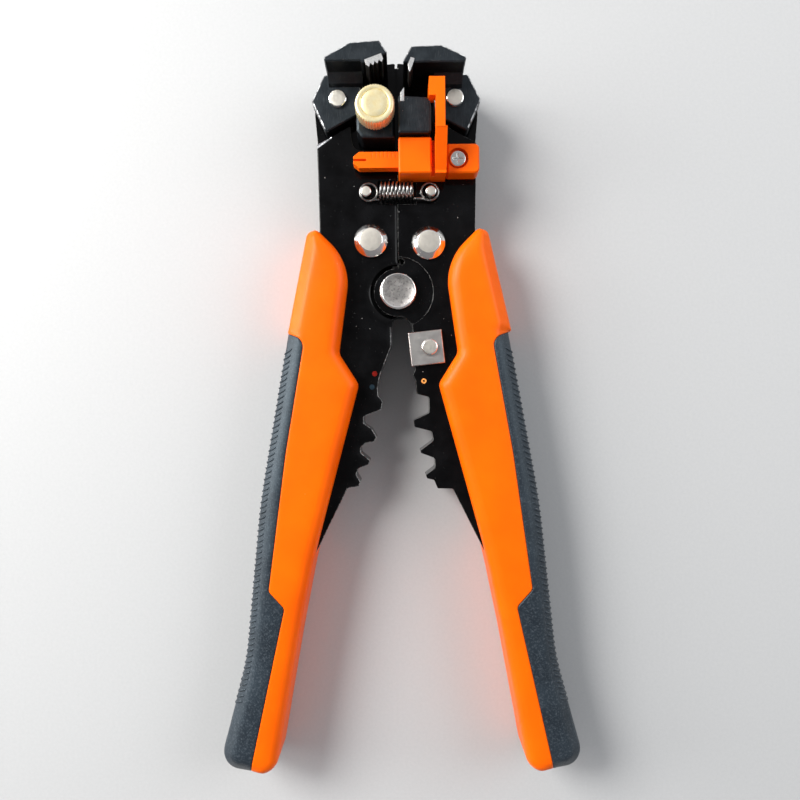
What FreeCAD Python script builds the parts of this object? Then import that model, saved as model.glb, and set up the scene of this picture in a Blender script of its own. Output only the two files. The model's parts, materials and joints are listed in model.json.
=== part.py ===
"""Self-adjusting wire stripper, cutter and crimper: two laminated levers on one pivot.

The origin is at the bottom centre of the tool's box, on the plane that its grips rest on.  +Y runs
along the tool towards its jaws, +X is to the right with the front uppermost, and +Z points out of
the front.  Shapes are drawn about the main pivot's axis, PIVOT_Y below their final place.  The two
levers nearly mirror each other in x = 0, so most shapes are given for the right-hand side and turned
over for the left; where the sides differ, a value is given for each.  The jaws and what they carry
are drawn closed or open as their comments say, and every part is saved with the handles open.
Lengths are in millimetres and angles in degrees.
"""
import FreeCAD, Part
import math
import os

LEFT, RIGHT = -1, 1

# ---- driving dimensions --------------------------------------------------------------------
PIVOT_Y = 34.81              # puts the origin at the bottom centre of the tool's box
GRIP_THICK = 20.0            # the grips lie on z = 0
MID_Z = GRIP_THICK / 2       # the levers are symmetric about this height
SHEET = 3.0                  # each plate and spacer
GAP = 0.3                    # between pieces that move past each other
RUNNING = 0.06               # radial clearance of a pin in a moving piece
SEAM = 0.15                  # each front plate stops this far from the middle line
CORE_SEAM = 0.35             # and each head spacer this far
BACK_LAP = 0.6               # the back plates part this far to the right, under the spacers' gap
CLOSING = 20.5               # how far one lever turns on the other, and each jaw on its lever

BACK = (MID_Z - 1.5 * SHEET, MID_Z - 0.5 * SHEET)
MIDDLE = (MID_Z - 0.5 * SHEET, MID_Z + 0.5 * SHEET)
FRONT = (MID_Z + 0.5 * SHEET, MID_Z + 1.5 * SHEET)
LINK_Z = (MIDDLE[0] + 0.15, MIDDLE[1] - 0.15)
HEAD_END_Y = 67.0            # the end of the wire channel's floor
THROUGH = (-5.0, 45.0)       # a height span that passes right through the tool

PIVOT_SHANK_R = 2.8
PIVOT_HEAD_R = 5.2
PIVOT_HEAD_H = 3.0
DISC_R = 6.9                 # the lobe of a plate that turns on the main pivot
DISC_CUT_R = 8.0             # the hollow in the facing plate that clears the lobe
COIN_R = 10.2                # the shallow round recess about the pivot
COIN_DEEP = 0.7

JAW_PIN = (16.6, 54.5)
JAW_PIN_R = 1.6
JAW_HEAD_R = 2.55
JAW_Z = (FRONT[0] + 0.2, 17.0)
JAW_TOP = 27.6
JAW_BEVEL = 0.35
LINK_ARM = (-3.2, -4.2)      # from a jaw pin to its link's top pin, on the left
LINK_PIN_R = 1.0
LINK_EYE_R = 2.1
LINK_PIN_SEAT = 1.6          # how far a link's foot pin stands in its plate
LINK_TOP_Z = JAW_Z[1] - 2.0  # the end of its top pin, blind in the jaw

RIVET = {LEFT: (7.6, 14.6), RIGHT: (8.9, 13.9)}      # each side's place, given for the right
RIVET_HEAD_R = 4.8
RIVET_HEAD_H = 2.6
RIVET_SHANK_R = 1.8
POST = {LEFT: (8.8, 28.0), RIGHT: (9.6, 27.9)}       # the spring posts, likewise
POST_R = 1.1
POST_HEAD_R = 1.5

COLLAR_X = {LEFT: 32.3, RIGHT: 33.2}                 # how far out each grip's hard collar reaches

PAD_X = (-6.9, -2.0)         # both gripping pads, when the left jaw is closed
PAD_TEETH = 4
TOOTH_DEEP = 0.9
GRIP_LINE = 55.15            # where the upper pad's teeth come to
UPPER_PAD_BACK = 57.5
LOWER_PAD_Y = 50.8
LOWER_PAD_Z = (15.4, 22.0)
UPPER_BLADE_X = (2.4, 3.6)   # when the right jaw is closed
UPPER_BLADE_BACK = 56.5
LOWER_BLADE_X = (1.15, 2.15)
LOWER_BLADE_Y = 50.4
LOWER_BLADE_Z = (15.0, 25.2)

BLOCK_X = (0.5, 9.5)         # the right-hand inner block
BLOCK_LOW_Y = 41.9
BLOCK_TOP = 25.0
BASE_TOP = 21.6              # the left-hand inner block, under the knob
ANVIL_Y = 52.0               # the inner blocks' upper faces
KNOB_AT = (-5.8, 48.4)
KNOB_R = 5.35
KNOB_Z = (23.4, 28.9)
KNOB_CAP = 1.3               # the closed end of the knob
KNOB_TEETH = 40
STUD_R = 1.5
STUD_FOOT_Z = 15.0

ROD_Y = (34.0, 38.5)
ROD_Z = (16.2, 19.8)
ROD_TIP_X = -12.2
MARK_PITCH = 1.1             # the ticks on the rod
MARKS = 7
BRACKET_X = (14.1, 23.1)
BRACKET_Y = (32.2, 40.4)
BRACKET_TOP = 20.5
BRACKET_SCREW = (17.1, 36.3)
BRACKET_SCREW_R = 1.2
SCREW_SEAT = 1.6             # how deep the screw's head sits in the bracket
SCREW_HEAD_R = 2.3
SCREW_RECESS_R = 2.9
SLEEVE_X = (0.5, 9.6)
SLEEVE_Y = (31.5, 41.5)
SLIDER_TOP = 23.0
SLIDER_SLACK = 0.12          # the sleeve's play on the rod
FOOT_X = (10.6, 13.7)        # the arm's foot beside the sleeve, and its climbing part
ARM_X = (10.6, 13.1)
ARM_TOP = 29.0
RAMP_Y = (32.3, 42.2)        # where the arm climbs from its foot to its top
HOOK_X = (8.85, 13.1)        # the arm's hooked end, over the wire channel
HOOK_Y = (50.4, 55.4)
TAB_LOW_Z = 19.0             # the stop face at the hook's tip reaches down to here

SPRING_R = 2.7
SPRING_WIRE = 0.7
SPRING_Y = 28.6
SPRING_Z = 16.2
SPRING_HALF = 4.9
SPRING_ROOM = 0.7            # the front plates' window stands this clear of the coil
LOOP_R = 2.5
LOOP_X = {LEFT: 8.1, RIGHT: 9.3}
LOOP_Y = 28.3

CUTTER_AT = (8.0, -16.2)
CUTTER_SIDE = 9.6
CUTTER_TURN = 6.0
CUTTER_THICK = 1.6
CUTTER_LIFT = 0.1            # keeps the cutter off the other lever's plate as it shears
CUTTER_SCREW_AT = (8.9, -16.0)
CUTTER_SCREW_R = 1.4
CUTTER_HEAD_R = 2.3
MARK_THICK = 0.06            # paint

Z_AXIS = FreeCAD.Vector(0, 0, 1)


# ---- geometry helpers ----------------------------------------------------------------------
def vec(x, y, z=0.0):
    return FreeCAD.Vector(x, y, z)


def rounded_wire(points):
    """A closed wire through (x, y) or (x, y, corner radius) points at z = 0."""
    count = len(points)
    ins, outs, mids = [], [], []
    for i, point in enumerate(points):
        here = vec(point[0], point[1])
        radius = point[2] if len(point) > 2 else 0.0
        to_prev = (vec(*points[i - 1][:2]) - here).normalize()
        to_next = (vec(*points[(i + 1) % count][:2]) - here).normalize()
        half = to_prev.getAngle(to_next) / 2
        if radius <= 0 or half > math.radians(89.7):
            ins.append(here)
            outs.append(here)
            mids.append(None)
            continue
        reach = radius / math.tan(half)
        bisector = (to_prev + to_next).normalize()
        ins.append(here + to_prev * reach)
        outs.append(here + to_next * reach)
        mids.append(here + bisector * (radius / math.sin(half) - radius))
    edges = []
    for i in range(count):
        if mids[i] is not None:
            edges.append(Part.Arc(ins[i], mids[i], outs[i]).toShape())
        end = ins[(i + 1) % count]
        if (end - outs[i]).Length > 1e-4:
            edges.append(Part.LineSegment(outs[i], end).toShape())
    return Part.Wire(edges)


def prism(points, z_span):
    """An upright prism of a rounded outline, from one height to another."""
    solid = Part.Face(rounded_wire(points)).extrude(vec(0, 0, z_span[1] - z_span[0]))
    solid.translate(vec(0, 0, z_span[0]))
    return solid


def cylinder(centre, radius, z_span):
    return Part.makeCylinder(radius, z_span[1] - z_span[0], vec(centre[0], centre[1], z_span[0]))


def block(x_span, y_span, z_span):
    return Part.makeBox(x_span[1] - x_span[0], y_span[1] - y_span[0], z_span[1] - z_span[0],
                        vec(x_span[0], y_span[0], z_span[0]))


def turned(shape, centre, degrees):
    """A copy turned about an upright axis."""
    result = shape.copy()
    result.rotate(vec(centre[0], centre[1]), Z_AXIS, degrees)
    return result


def on_side(shape, side):
    """A shape given for the right-hand side, put on the side that is wanted."""
    if side == RIGHT:
        return shape
    return shape.mirror(vec(0, 0), vec(1, 0))


def place(point, side):
    return (side * point[0], point[1])


def soften(solid, radius, chosen):
    """Rounds the edges that the test picks."""
    return solid.makeFillet(radius, [edge for edge in solid.Edges if chosen(edge)])


def bevel(solid, size, chosen):
    """Breaks the edges that the test picks."""
    return solid.makeChamfer(size, [edge for edge in solid.Edges if chosen(edge)])


def flat_at(z, tolerance=1e-3):
    """Picks the edges that lie flat at a height."""
    def chosen(edge):
        box = edge.BoundBox
        return abs(box.ZMin - z) < tolerance and abs(box.ZMax - z) < tolerance
    return chosen


def revolved(profile, centre):
    """A turned piece: (radius, z) points, turned about an upright axis."""
    outline = [vec(r, 0, z) for r, z in profile]
    face = Part.Face(Part.makePolygon(outline + outline[:1]))
    solid = face.revolve(vec(0, 0), Z_AXIS, 360)
    solid.translate(vec(centre[0], centre[1]))
    return solid


# ---- outlines, for the right-hand side -----------------------------------------------------
def crimp_profile_right():
    """The inner edge of the right lever below the pivot: three nests and the teeth between."""
    return [(4.1, -9.3, 0.6), (4.8, -22.4, 0.4), (4.2, -23.9, 0.5), (4.9, -25.4, 0.6),
            (5.2, -29.3, 0.5), (8.7, -30.2, 0.7), (8.7, -34.8, 0.7), (4.2, -36.9, 0.5),
            (4.4, -38.8, 0.5), (9.4, -40.1, 0.8), (9.9, -42.8, 0.8), (6.0, -45.6, 0.3),
            (6.2, -46.3, 0.3), (10.2, -47.8, 0.9), (10.3, -50.6, 0.9), (7.5, -52.7, 0.4),
            (7.9, -53.6, 0.4), (9.9, -54.1, 0.5), (10.9, -56.5, 0.4), (15.3, -56.6, 0.8)]


def crimp_profile_left():
    """The inner edge of the left lever below the pivot, given for the right-hand side."""
    return [(2.1, -10.0, 0.6), (2.1, -15.4, 2.0), (5.5, -24.0, 1.5), (6.1, -27.2, 0.8),
            (6.0, -29.7, 0.5), (4.7, -31.3, 0.6), (5.1, -33.7, 0.5), (10.3, -35.7, 0.7),
            (10.1, -37.7, 0.6), (7.9, -39.2, 0.5), (6.5, -41.6, 0.5), (7.3, -43.0, 0.4),
            (9.6, -43.2, 0.5), (11.2, -44.6, 0.5), (11.1, -46.1, 0.5), (8.5, -48.3, 0.4),
            (8.8, -49.4, 0.4), (11.9, -50.6, 0.6), (12.5, -52.4, 0.5), (11.3, -54.4, 0.4),
            (11.8, -55.7, 0.3), (15.0, -56.2, 0.8)]


def tang_outline():
    """The buried part of a lever, from its crimping teeth down inside the grip and back up."""
    return [(26.0, -78.3, 6.0), (29.2, -92.0, 20.0), (35.0, -120.0, 1.5), (41.0, -119.0, 1.5),
            (36.0, -95.0, 30.0), (30.5, -52.0, 60.0), (26.5, -18.0, 40.0), (24.5, 0.0, 20.0),
            (22.3, 18.0, 8.0)]


def front_top_outline():
    """The shoulder of a front plate under its jaw, and the step round its inner block."""
    return [(22.9, 42.6, 0.8), (16.3, 46.4, 0.8), (13.1, 48.2, 0.6), (12.8, 44.6, 1.0),
            (12.1, 40.8, 2.6), (SEAM, 40.8, 0.3)]


def back_top_outline(parting_x):
    """The head of a back plate, which carries the jaw pin and closes the wire channel's floor."""
    return [(23.1, 42.6, 4.0), (24.1, 54.0, 3.0), (20.6, 61.5, 3.0), (14.6, 65.4, 3.0),
            (parting_x, HEAD_END_Y, 0.3)]


def grip_inner_outline():
    """The side of the right grip that faces the other grip, from its tip to its end."""
    return [(25.2, 19.9, 2.4), (13.5, 8.2, 15.5), (17.0, -17.6, 3.0), (11.4, -26.5, 2.7),
            (24.6, -76.0, 200.0), (29.2, -99.0, 200.0), (36.0, -137.4, 5.0), (52.1, -134.5, 5.2)]


def shell_outline(side):
    """The hard part of a grip, drawn for the right, as if it went right across."""
    return grip_inner_outline() + [(COLLAR_X[side], -15.5, 20.0)]


def grip_outline():
    """The grip with its soft cover, which is a little thinner than the hard part above it."""
    return grip_inner_outline() + [(44.0, -104.5, 70.0), (39.7, -60.0, 200.0), (31.1, -10.5)]


def cover_outline():
    """What the soft cover takes of the grip: everything outside this line."""
    return [(36.0, -10.0), (26.4, -13.9, 3.2), (31.9, -46.0, 120.0), (37.0, -84.4, 1.8),
            (32.6, -89.2, 1.8), (44.1, -142.0), (60.0, -142.0), (60.0, -10.0)]


# ---- the levers ----------------------------------------------------------------------------
def lever_plate(side, layer, with_disc):
    """A stamped plate.  One plate of each lever has the lobe, and the other the hollow for it."""
    profile = crimp_profile_right() if side == RIGHT else crimp_profile_left()
    parting_x = SEAM if layer == FRONT else SEAM + side * BACK_LAP
    top = front_top_outline() if layer == FRONT else back_top_outline(parting_x)
    if with_disc:
        neck = [(parting_x, -6.8), (1.8, -7.1, 0.4)]
        plate = prism(top + neck + profile + tang_outline(), layer)
        plate = plate.fuse(cylinder((0, 0), DISC_R, layer))
        plate = plate.cut(cylinder((1.0, 8.8), 0.95, layer))
        plate = plate.cut(cylinder((0, 0), PIVOT_SHANK_R, layer))
    else:
        neck = [(parting_x, -5.0)]
        plate = prism(top + neck + profile + tang_outline(), layer)
        plate = plate.cut(cylinder((0, 0), DISC_CUT_R, layer))
    plate = plate.cut(cylinder(RIVET[side], RIVET_SHANK_R, layer))
    plate = plate.cut(cylinder(POST[side], POST_R, layer))
    if layer == BACK:
        plate = plate.cut(cylinder(JAW_PIN, JAW_PIN_R, layer))
    else:
        reach = SPRING_R + SPRING_ROOM
        window = block((-1, SPRING_HALF + SPRING_ROOM), (SPRING_Y - reach, SPRING_Y + reach), layer)
        plate = plate.cut(window)
    return on_side(plate.removeSplitter(), side)


def right_front_plate():
    plate = lever_plate(RIGHT, FRONT, with_disc=True)
    coin = cylinder((0, 0), COIN_R, (FRONT[1] - COIN_DEEP, FRONT[1]))
    plate = plate.cut(coin.cut(block((-20, 0.6), (8.4, 20), THROUGH)))
    pin = cylinder(LINK_ARM, LINK_PIN_R, (FRONT[0], FRONT[0] + LINK_PIN_SEAT))
    screw = cylinder(BRACKET_SCREW, BRACKET_SCREW_R, FRONT)
    cutter = cylinder(CUTTER_SCREW_AT, CUTTER_SCREW_R, FRONT)
    return plate.cut(pin).cut(screw).cut(cutter)


def left_front_plate():
    return lever_plate(LEFT, FRONT, with_disc=False)


def right_back_plate():
    return lever_plate(RIGHT, BACK, with_disc=False)


def left_back_plate():
    plate = lever_plate(LEFT, BACK, with_disc=True)
    pin = cylinder(place(LINK_ARM, LEFT), LINK_PIN_R, (BACK[1] - LINK_PIN_SEAT, BACK[1]))
    return plate.cut(pin)


def head_spacer(side):
    """Fills the middle layer beside the link: floor of the wire channel and seat of the pin."""
    outline = [(CORE_SEAM, HEAD_END_Y, 0.4), (14.6, 65.4, 3.0), (20.6, 61.5, 3.0),
               (20.9, 56.4, 1.5), (17.6, 51.9, 1.5), (16.2, 52.2, 1.0), (10.4, 33.0, 2.0),
               (7.6, 24.0, 1.5), (CORE_SEAM, 24.0, 0.3)]
    spacer = prism(outline, MIDDLE)
    spacer = spacer.cut(cylinder(JAW_PIN, JAW_PIN_R, MIDDLE))
    spacer = spacer.cut(cylinder(POST[side], POST_R, MIDDLE))
    return on_side(spacer, side)


def handle_spacer(side):
    """Fills the middle layer below the pivot, so that the crimping nests are nine deep."""
    profile = crimp_profile_right() if side == RIGHT else crimp_profile_left()
    below = [point for point in profile if point[1] < -12.0]
    tang = tang_outline()[:6]
    outline = [(26.4, -12.5, 1.0), (4.3, -12.5, 0.6)] + below + tang
    spacer = prism(outline, MIDDLE)
    if side == RIGHT:
        spacer = spacer.cut(cylinder(CUTTER_SCREW_AT, CUTTER_SCREW_R, MIDDLE))
    return on_side(spacer, side)


# ---- pins, rivets and screws ---------------------------------------------------------------
def main_pivot_rivet():
    front_seat = FRONT[1] - COIN_DEEP
    back_seat = BACK[0]
    head = [(0, front_seat), (PIVOT_HEAD_R, front_seat), (PIVOT_HEAD_R, front_seat + 1.5),
            (PIVOT_HEAD_R - 0.7, front_seat + 2.5), (PIVOT_HEAD_R - 1.5, front_seat + PIVOT_HEAD_H),
            (PIVOT_HEAD_R - 2.0, front_seat + PIVOT_HEAD_H - 0.4), (0, front_seat + PIVOT_HEAD_H - 0.4)]
    tail = [(0, back_seat), (PIVOT_HEAD_R, back_seat), (PIVOT_HEAD_R, back_seat - 1.4),
            (PIVOT_HEAD_R - 1.2, back_seat - 2.4), (0, back_seat - 2.4)]
    shank = cylinder((0, 0), PIVOT_SHANK_R - RUNNING, (back_seat - 0.5, front_seat + 0.5))
    return shank.fuse(revolved(head, (0, 0))).fuse(revolved(tail, (0, 0))).removeSplitter()


def domed_rivet(centre, head_r, head_h, shank_r, front, back):
    """A rivet with a flat-centred dome in front and a lower dome behind."""
    def head(seat, way, height):
        return [(0, seat), (head_r, seat), (head_r, seat + way * height * 0.35),
                (head_r * 0.93, seat + way * height * 0.68), (head_r * 0.78, seat + way * height * 0.93),
                (head_r * 0.66, seat + way * height), (0, seat + way * height)]
    shank = cylinder(centre, shank_r, (back - 0.2, front + 0.2))
    front_head = revolved(head(front, 1, head_h), centre)
    back_head = revolved(head(back, -1, head_h * 0.8), centre)
    return shank.fuse(front_head).fuse(back_head).removeSplitter()


def frame_rivet(side):
    return domed_rivet(place(RIVET[side], side), RIVET_HEAD_R, RIVET_HEAD_H, RIVET_SHANK_R,
                       FRONT[1], BACK[0])


def jaw_pin(side):
    return domed_rivet(place(JAW_PIN, side), JAW_HEAD_R, 0.9, JAW_PIN_R, JAW_Z[1] + 0.05, BACK[0])


def spring_post(side):
    """A stepped post with a groove that holds the spring's loop."""
    top = SPRING_Z + 1.9
    profile = [(0, BACK[0] - 0.8), (1.9, BACK[0] - 0.8), (1.9, BACK[0]), (POST_R, BACK[0]),
               (POST_R, top - 1.0), (POST_HEAD_R, top - 0.8), (POST_HEAD_R, top),
               (POST_HEAD_R - 0.3, top + 0.35), (0, top + 0.35)]
    return revolved(profile, place(POST[side], side))


def link_top(side):
    """The pin that joins a link to its jaw's tail."""
    return place((JAW_PIN[0] - LINK_ARM[0], JAW_PIN[1] + LINK_ARM[1]), side)


def link_foot(side):
    """The pin that carries the link on the opposite lever."""
    return place((-LINK_ARM[0], LINK_ARM[1]), side)


def link_top_pin(side):
    return cylinder(link_top(side), LINK_PIN_R, (LINK_Z[0], LINK_TOP_Z))


def link_foot_pin(side):
    """The left link's pin stands in the right front plate, the right link's in the left back."""
    if side == LEFT:
        return cylinder(link_foot(side), LINK_PIN_R, (LINK_Z[0], FRONT[0] + LINK_PIN_SEAT))
    return cylinder(link_foot(side), LINK_PIN_R, (BACK[1] - LINK_PIN_SEAT, LINK_Z[1]))


def link(side):
    """A flat bar between the plates, widened and slotted where the frame rivet passes it."""
    foot, top = vec(*link_foot(RIGHT)), vec(*link_top(RIGHT))
    along = (top - foot).normalize()
    across = vec(along.y, -along.x)
    half_in, half_out = 1.1, 2.3
    corners = [foot - across * half_in, foot + across * half_out,
               top + across * 1.2, top - across * 1.2]
    bar = prism([(p.x, p.y) for p in corners], LINK_Z)
    for pin in (link_foot(RIGHT), link_top(RIGHT)):
        bar = bar.fuse(cylinder(pin, LINK_EYE_R, LINK_Z))
    swing = math.radians(CLOSING)
    arm = (-LINK_ARM[0], LINK_ARM[1])
    shift = (arm[0] * math.cos(swing) - arm[1] * math.sin(swing) - arm[0],
             arm[0] * math.sin(swing) + arm[1] * math.cos(swing) - arm[1])
    near_end = RIVET[side]
    far_end = (near_end[0] - shift[0], near_end[1] - shift[1])
    wall = 1.7
    slot_r = RIVET_SHANK_R + GAP
    bar = bar.fuse(capsule(near_end, far_end, slot_r + wall, LINK_Z))
    bar = bar.cut(capsule(near_end, far_end, slot_r, LINK_Z))
    for pin in (link_foot(RIGHT), link_top(RIGHT)):
        bar = bar.cut(cylinder(pin, LINK_PIN_R + RUNNING, LINK_Z))
    bar = bar.cut(cylinder((0, 0), PIVOT_SHANK_R + GAP, LINK_Z))
    return on_side(bar.removeSplitter(), side)


def capsule(start, end, radius, z_span):
    """An upright slot-shaped solid that sweeps a circle from one point past another."""
    a, b = vec(*start), vec(*end)
    across = (b - a).normalize().cross(Z_AXIS) * radius
    sides = [a + across, b + across, b - across, a - across]
    body = prism([(p.x, p.y) for p in sides], z_span)
    return body.fuse(cylinder(start, radius, z_span)).fuse(cylinder(end, radius, z_span))


# ---- jaws ----------------------------------------------------------------------------------
def jaw_flange():
    outline = [(20.4, 61.4, 1.0), (24.0, 54.0, 0.8), (20.1, 45.2, 0.9), (11.4, 49.8, 0.8),
               (10.0, 58.0, 1.0), (11.0, 61.4, 1.0)]
    return bevel(prism(outline, JAW_Z), JAW_BEVEL, flat_at(JAW_Z[1]))


def jaw_bores(jaw, side):
    """The running bore of the jaw pin and the blind bore of the link's top pin."""
    jaw = jaw.cut(cylinder(place(JAW_PIN, side), JAW_PIN_R + RUNNING, JAW_Z))
    return jaw.cut(cylinder(link_top(side), LINK_PIN_R, (JAW_Z[0], LINK_TOP_Z)))


def wall_ramp(x_span, wall_y):
    """The sloping foot where a jaw's wall comes down onto its flange."""
    foot_y = wall_y - 2.8
    corners = [vec(x_span[0], foot_y, JAW_Z[1] - 0.5), vec(x_span[0], wall_y + 1, JAW_Z[1] - 0.5),
               vec(x_span[0], wall_y + 1, JAW_Z[1] + 5.0), vec(x_span[0], wall_y, JAW_Z[1] + 4.0),
               vec(x_span[0], foot_y + 0.8, JAW_Z[1] + 1.2)]
    face = Part.Face(Part.makePolygon(corners + corners[:1]))
    return face.extrude(vec(x_span[1] - x_span[0], 0, 0))


def pad_outline(back_y, teeth_y):
    """A pad whose working side, at teeth_y, is a row of saw teeth that point away from its back."""
    root_y = teeth_y + math.copysign(TOOTH_DEEP, back_y - teeth_y)
    pitch = (PAD_X[1] - PAD_X[0]) / PAD_TEETH
    points = []
    for i in range(PAD_TEETH):
        x = PAD_X[0] + i * pitch
        points += [(x, root_y), (x + pitch * 0.45, teeth_y)]
    return points + [(PAD_X[1], root_y), (PAD_X[1], back_y), (PAD_X[0], back_y)]


def upper_gripping_pad():
    """The toothed insert of the left jaw, drawn closed and then opened with the jaw."""
    pad = prism(pad_outline(UPPER_PAD_BACK, GRIP_LINE), (JAW_Z[1] - 0.6, JAW_TOP - 0.1))
    return turned(pad, place(JAW_PIN, LEFT), CLOSING)


def left_outer_jaw():
    roof = [(-19.8, 61.3, 0.6), (-12.4, 65.4, 1.6), (-4.5, 65.9, 0.5), (-2.2, 62.4, 0.4),
            (-8.8, 59.8, 0.5), (-9.6, 60.4, 0.4), (-19.0, 60.4, 0.6)]
    wall = bevel(prism(roof, (JAW_Z[0], JAW_TOP)), JAW_BEVEL, flat_at(JAW_TOP))
    jaw = wall.fuse(on_side(jaw_flange(), LEFT)).fuse(wall_ramp((-19.0, -9.4), 60.4))
    jaw = jaw_bores(jaw, LEFT)
    pocket = block(PAD_X, (GRIP_LINE - 1.0, UPPER_PAD_BACK), (JAW_Z[1] - 0.6, JAW_TOP + 1))
    return jaw.cut(turned(pocket, place(JAW_PIN, LEFT), CLOSING)).removeSplitter()


def upper_stripping_blade():
    """A slim blade, ground to a slanting edge, drawn closed and then opened with the jaw."""
    inner, outer = UPPER_BLADE_X
    edge = [(inner, UPPER_BLADE_BACK), (inner, 54.2), (outer - 0.15, 52.6), (outer, 52.8),
            (outer, UPPER_BLADE_BACK)]
    blade = prism(edge, (JAW_Z[1] + 0.5, JAW_TOP - 0.1))
    return turned(blade, JAW_PIN, -CLOSING)


def right_outer_jaw():
    roof = [(4.2, 64.2, 0.5), (12.3, 64.5, 1.6), (19.2, 61.2, 0.6), (18.5, 59.9, 0.6),
            (1.7, 59.9, 0.4)]
    wall = bevel(prism(roof, (JAW_Z[0], JAW_TOP)), JAW_BEVEL, flat_at(JAW_TOP))
    jaw = wall.fuse(jaw_flange()).fuse(wall_ramp((10.6, 18.6), 59.9))
    jaw = jaw_bores(jaw, RIGHT)
    pocket = block(UPPER_BLADE_X, (50.0, UPPER_BLADE_BACK), (JAW_Z[1] + 0.5, JAW_TOP + 1))
    clear_of_lower_blade = block((-1.0, UPPER_BLADE_X[0]), (50.0, 54.5), THROUGH)
    for cut in (pocket, clear_of_lower_blade):
        jaw = jaw.cut(turned(cut, JAW_PIN, -CLOSING))
    return jaw.removeSplitter()


# ---- inner blocks, knob and blades ---------------------------------------------------------
def right_inner_block():
    """The anvil under the right jaw, slotted for the lower blade."""
    inner, outer = BLOCK_X
    outline = [(inner, ANVIL_Y + 0.1, 0.5), (8.9, ANVIL_Y - 0.4, 1.4), (outer, ANVIL_Y - 2.6, 1.0),
               (outer, BLOCK_LOW_Y, 0.8), (inner, BLOCK_LOW_Y, 0.5)]
    body = bevel(prism(outline, (MIDDLE[1], BLOCK_TOP)), 0.4, flat_at(BLOCK_TOP))
    slot = block(LOWER_BLADE_X, (LOWER_BLADE_Y, ANVIL_Y + 1), (LOWER_BLADE_Z[0], BLOCK_TOP + 1))
    return body.cut(slot)


def lower_stripping_blade():
    inner, outer = LOWER_BLADE_X
    edge = [(inner, LOWER_BLADE_Y), (outer, LOWER_BLADE_Y), (outer, 54.2), (inner, 52.7)]
    return prism(edge, LOWER_BLADE_Z)


def left_inner_block():
    """The anvil under the left jaw: a rounded base with the knob's boss on it."""
    outline = [(-0.5, 52.2, 0.3), (-10.4, 52.2, 1.0), (-11.2, 47.0, 1.5), (-11.2, 44.0, 1.6),
               (-9.6, 41.8, 1.2), (-0.5, 41.8, 0.3)]
    base = soften(prism(outline, (MIDDLE[1], BASE_TOP)), 0.9, flat_at(BASE_TOP))
    boss = cylinder(KNOB_AT, 4.0, (BASE_TOP - 0.6, KNOB_Z[0] - 0.1))
    bore = cylinder(KNOB_AT, STUD_R, (STUD_FOOT_Z, BLOCK_TOP))
    pocket = block(PAD_X, (LOWER_PAD_Y, ANVIL_Y + 1), LOWER_PAD_Z)
    return base.fuse(boss).cut(bore).cut(pocket).removeSplitter()


def lower_gripping_pad():
    return prism(pad_outline(LOWER_PAD_Y, GRIP_LINE - GAP), LOWER_PAD_Z)


def adjuster_stud():
    return cylinder(KNOB_AT, STUD_R, (STUD_FOOT_Z, KNOB_Z[1] - KNOB_CAP - GAP))


def adjuster_knob():
    """A brass cap nut with a knurled rim and a ring groove in its closed face."""
    low, high = KNOB_Z
    bore_r = STUD_R + RUNNING
    profile = [(bore_r, low), (KNOB_R - 0.5, low), (KNOB_R, low + 0.5), (KNOB_R, high - 0.5),
               (KNOB_R - 0.5, high), (3.95, high), (3.75, high - 0.3), (3.55, high), (0, high),
               (0, high - KNOB_CAP), (bore_r, high - KNOB_CAP)]
    knob = revolved(profile, KNOB_AT)
    notch = block((KNOB_R - 0.22, KNOB_R + 1), (-0.16, 0.16), (low - 1, high + 1))
    notches = []
    for i in range(KNOB_TEETH):
        tooth = turned(notch, (0, 0), 360.0 * i / KNOB_TEETH)
        tooth.translate(vec(KNOB_AT[0], KNOB_AT[1]))
        notches.append(tooth)
    return knob.cut(Part.makeCompound(notches))


# ---- length stop ---------------------------------------------------------------------------
def stop_bracket():
    """The screwed-on bracket and, in one piece with it, the graduated rod with a split tip."""
    x_span, y_span = BRACKET_X, BRACKET_Y
    outline = [(x_span[0], y_span[0], 0.5), (x_span[1], y_span[0], 1.4),
               (x_span[1], y_span[1], 1.4), (x_span[0], y_span[1], 0.5)]
    foot = prism(outline, (FRONT[1], BRACKET_TOP))
    foot = bevel(foot, 0.4, flat_at(BRACKET_TOP))
    low, high = ROD_Y
    rod_outline = [(x_span[0] + 0.5, low), (x_span[0] + 0.5, high), (ROD_TIP_X + 1.6, high, 0.3),
                   (ROD_TIP_X, high - 1.3, 0.4), (ROD_TIP_X, low + 1.3, 0.4),
                   (ROD_TIP_X + 1.6, low, 0.3)]
    rod = prism(rod_outline, ROD_Z)
    middle = (low + high) / 2
    rod = rod.cut(block((ROD_TIP_X - 1, ROD_TIP_X + 3.6), (middle - 0.3, middle + 0.3), THROUGH))
    ticks = []
    for i in range(MARKS):
        x = ROD_TIP_X + 5.2 + i * MARK_PITCH
        ticks.append(block((x, x + 0.18), (high - 1.6, high + 1), (ROD_Z[1] - 0.12, ROD_Z[1] + 1)))
    rod = rod.cut(Part.makeCompound(ticks))
    body = foot.fuse(rod)
    recess = cylinder(BRACKET_SCREW, SCREW_RECESS_R, (BRACKET_TOP - SCREW_SEAT, BRACKET_TOP + 1))
    return body.cut(recess).cut(cylinder(BRACKET_SCREW, BRACKET_SCREW_R, THROUGH)).removeSplitter()


def bracket_screw():
    seat = BRACKET_TOP - SCREW_SEAT
    top = seat + 1.4
    head = [(0, seat), (SCREW_HEAD_R, seat), (SCREW_HEAD_R, top - 0.3), (SCREW_HEAD_R - 0.25, top),
            (0, top)]
    shank = cylinder(BRACKET_SCREW, BRACKET_SCREW_R, (FRONT[0] + 0.1, seat + 0.2))
    return cross_slot(revolved(head, BRACKET_SCREW).fuse(shank), BRACKET_SCREW, top, 1.4)


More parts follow.
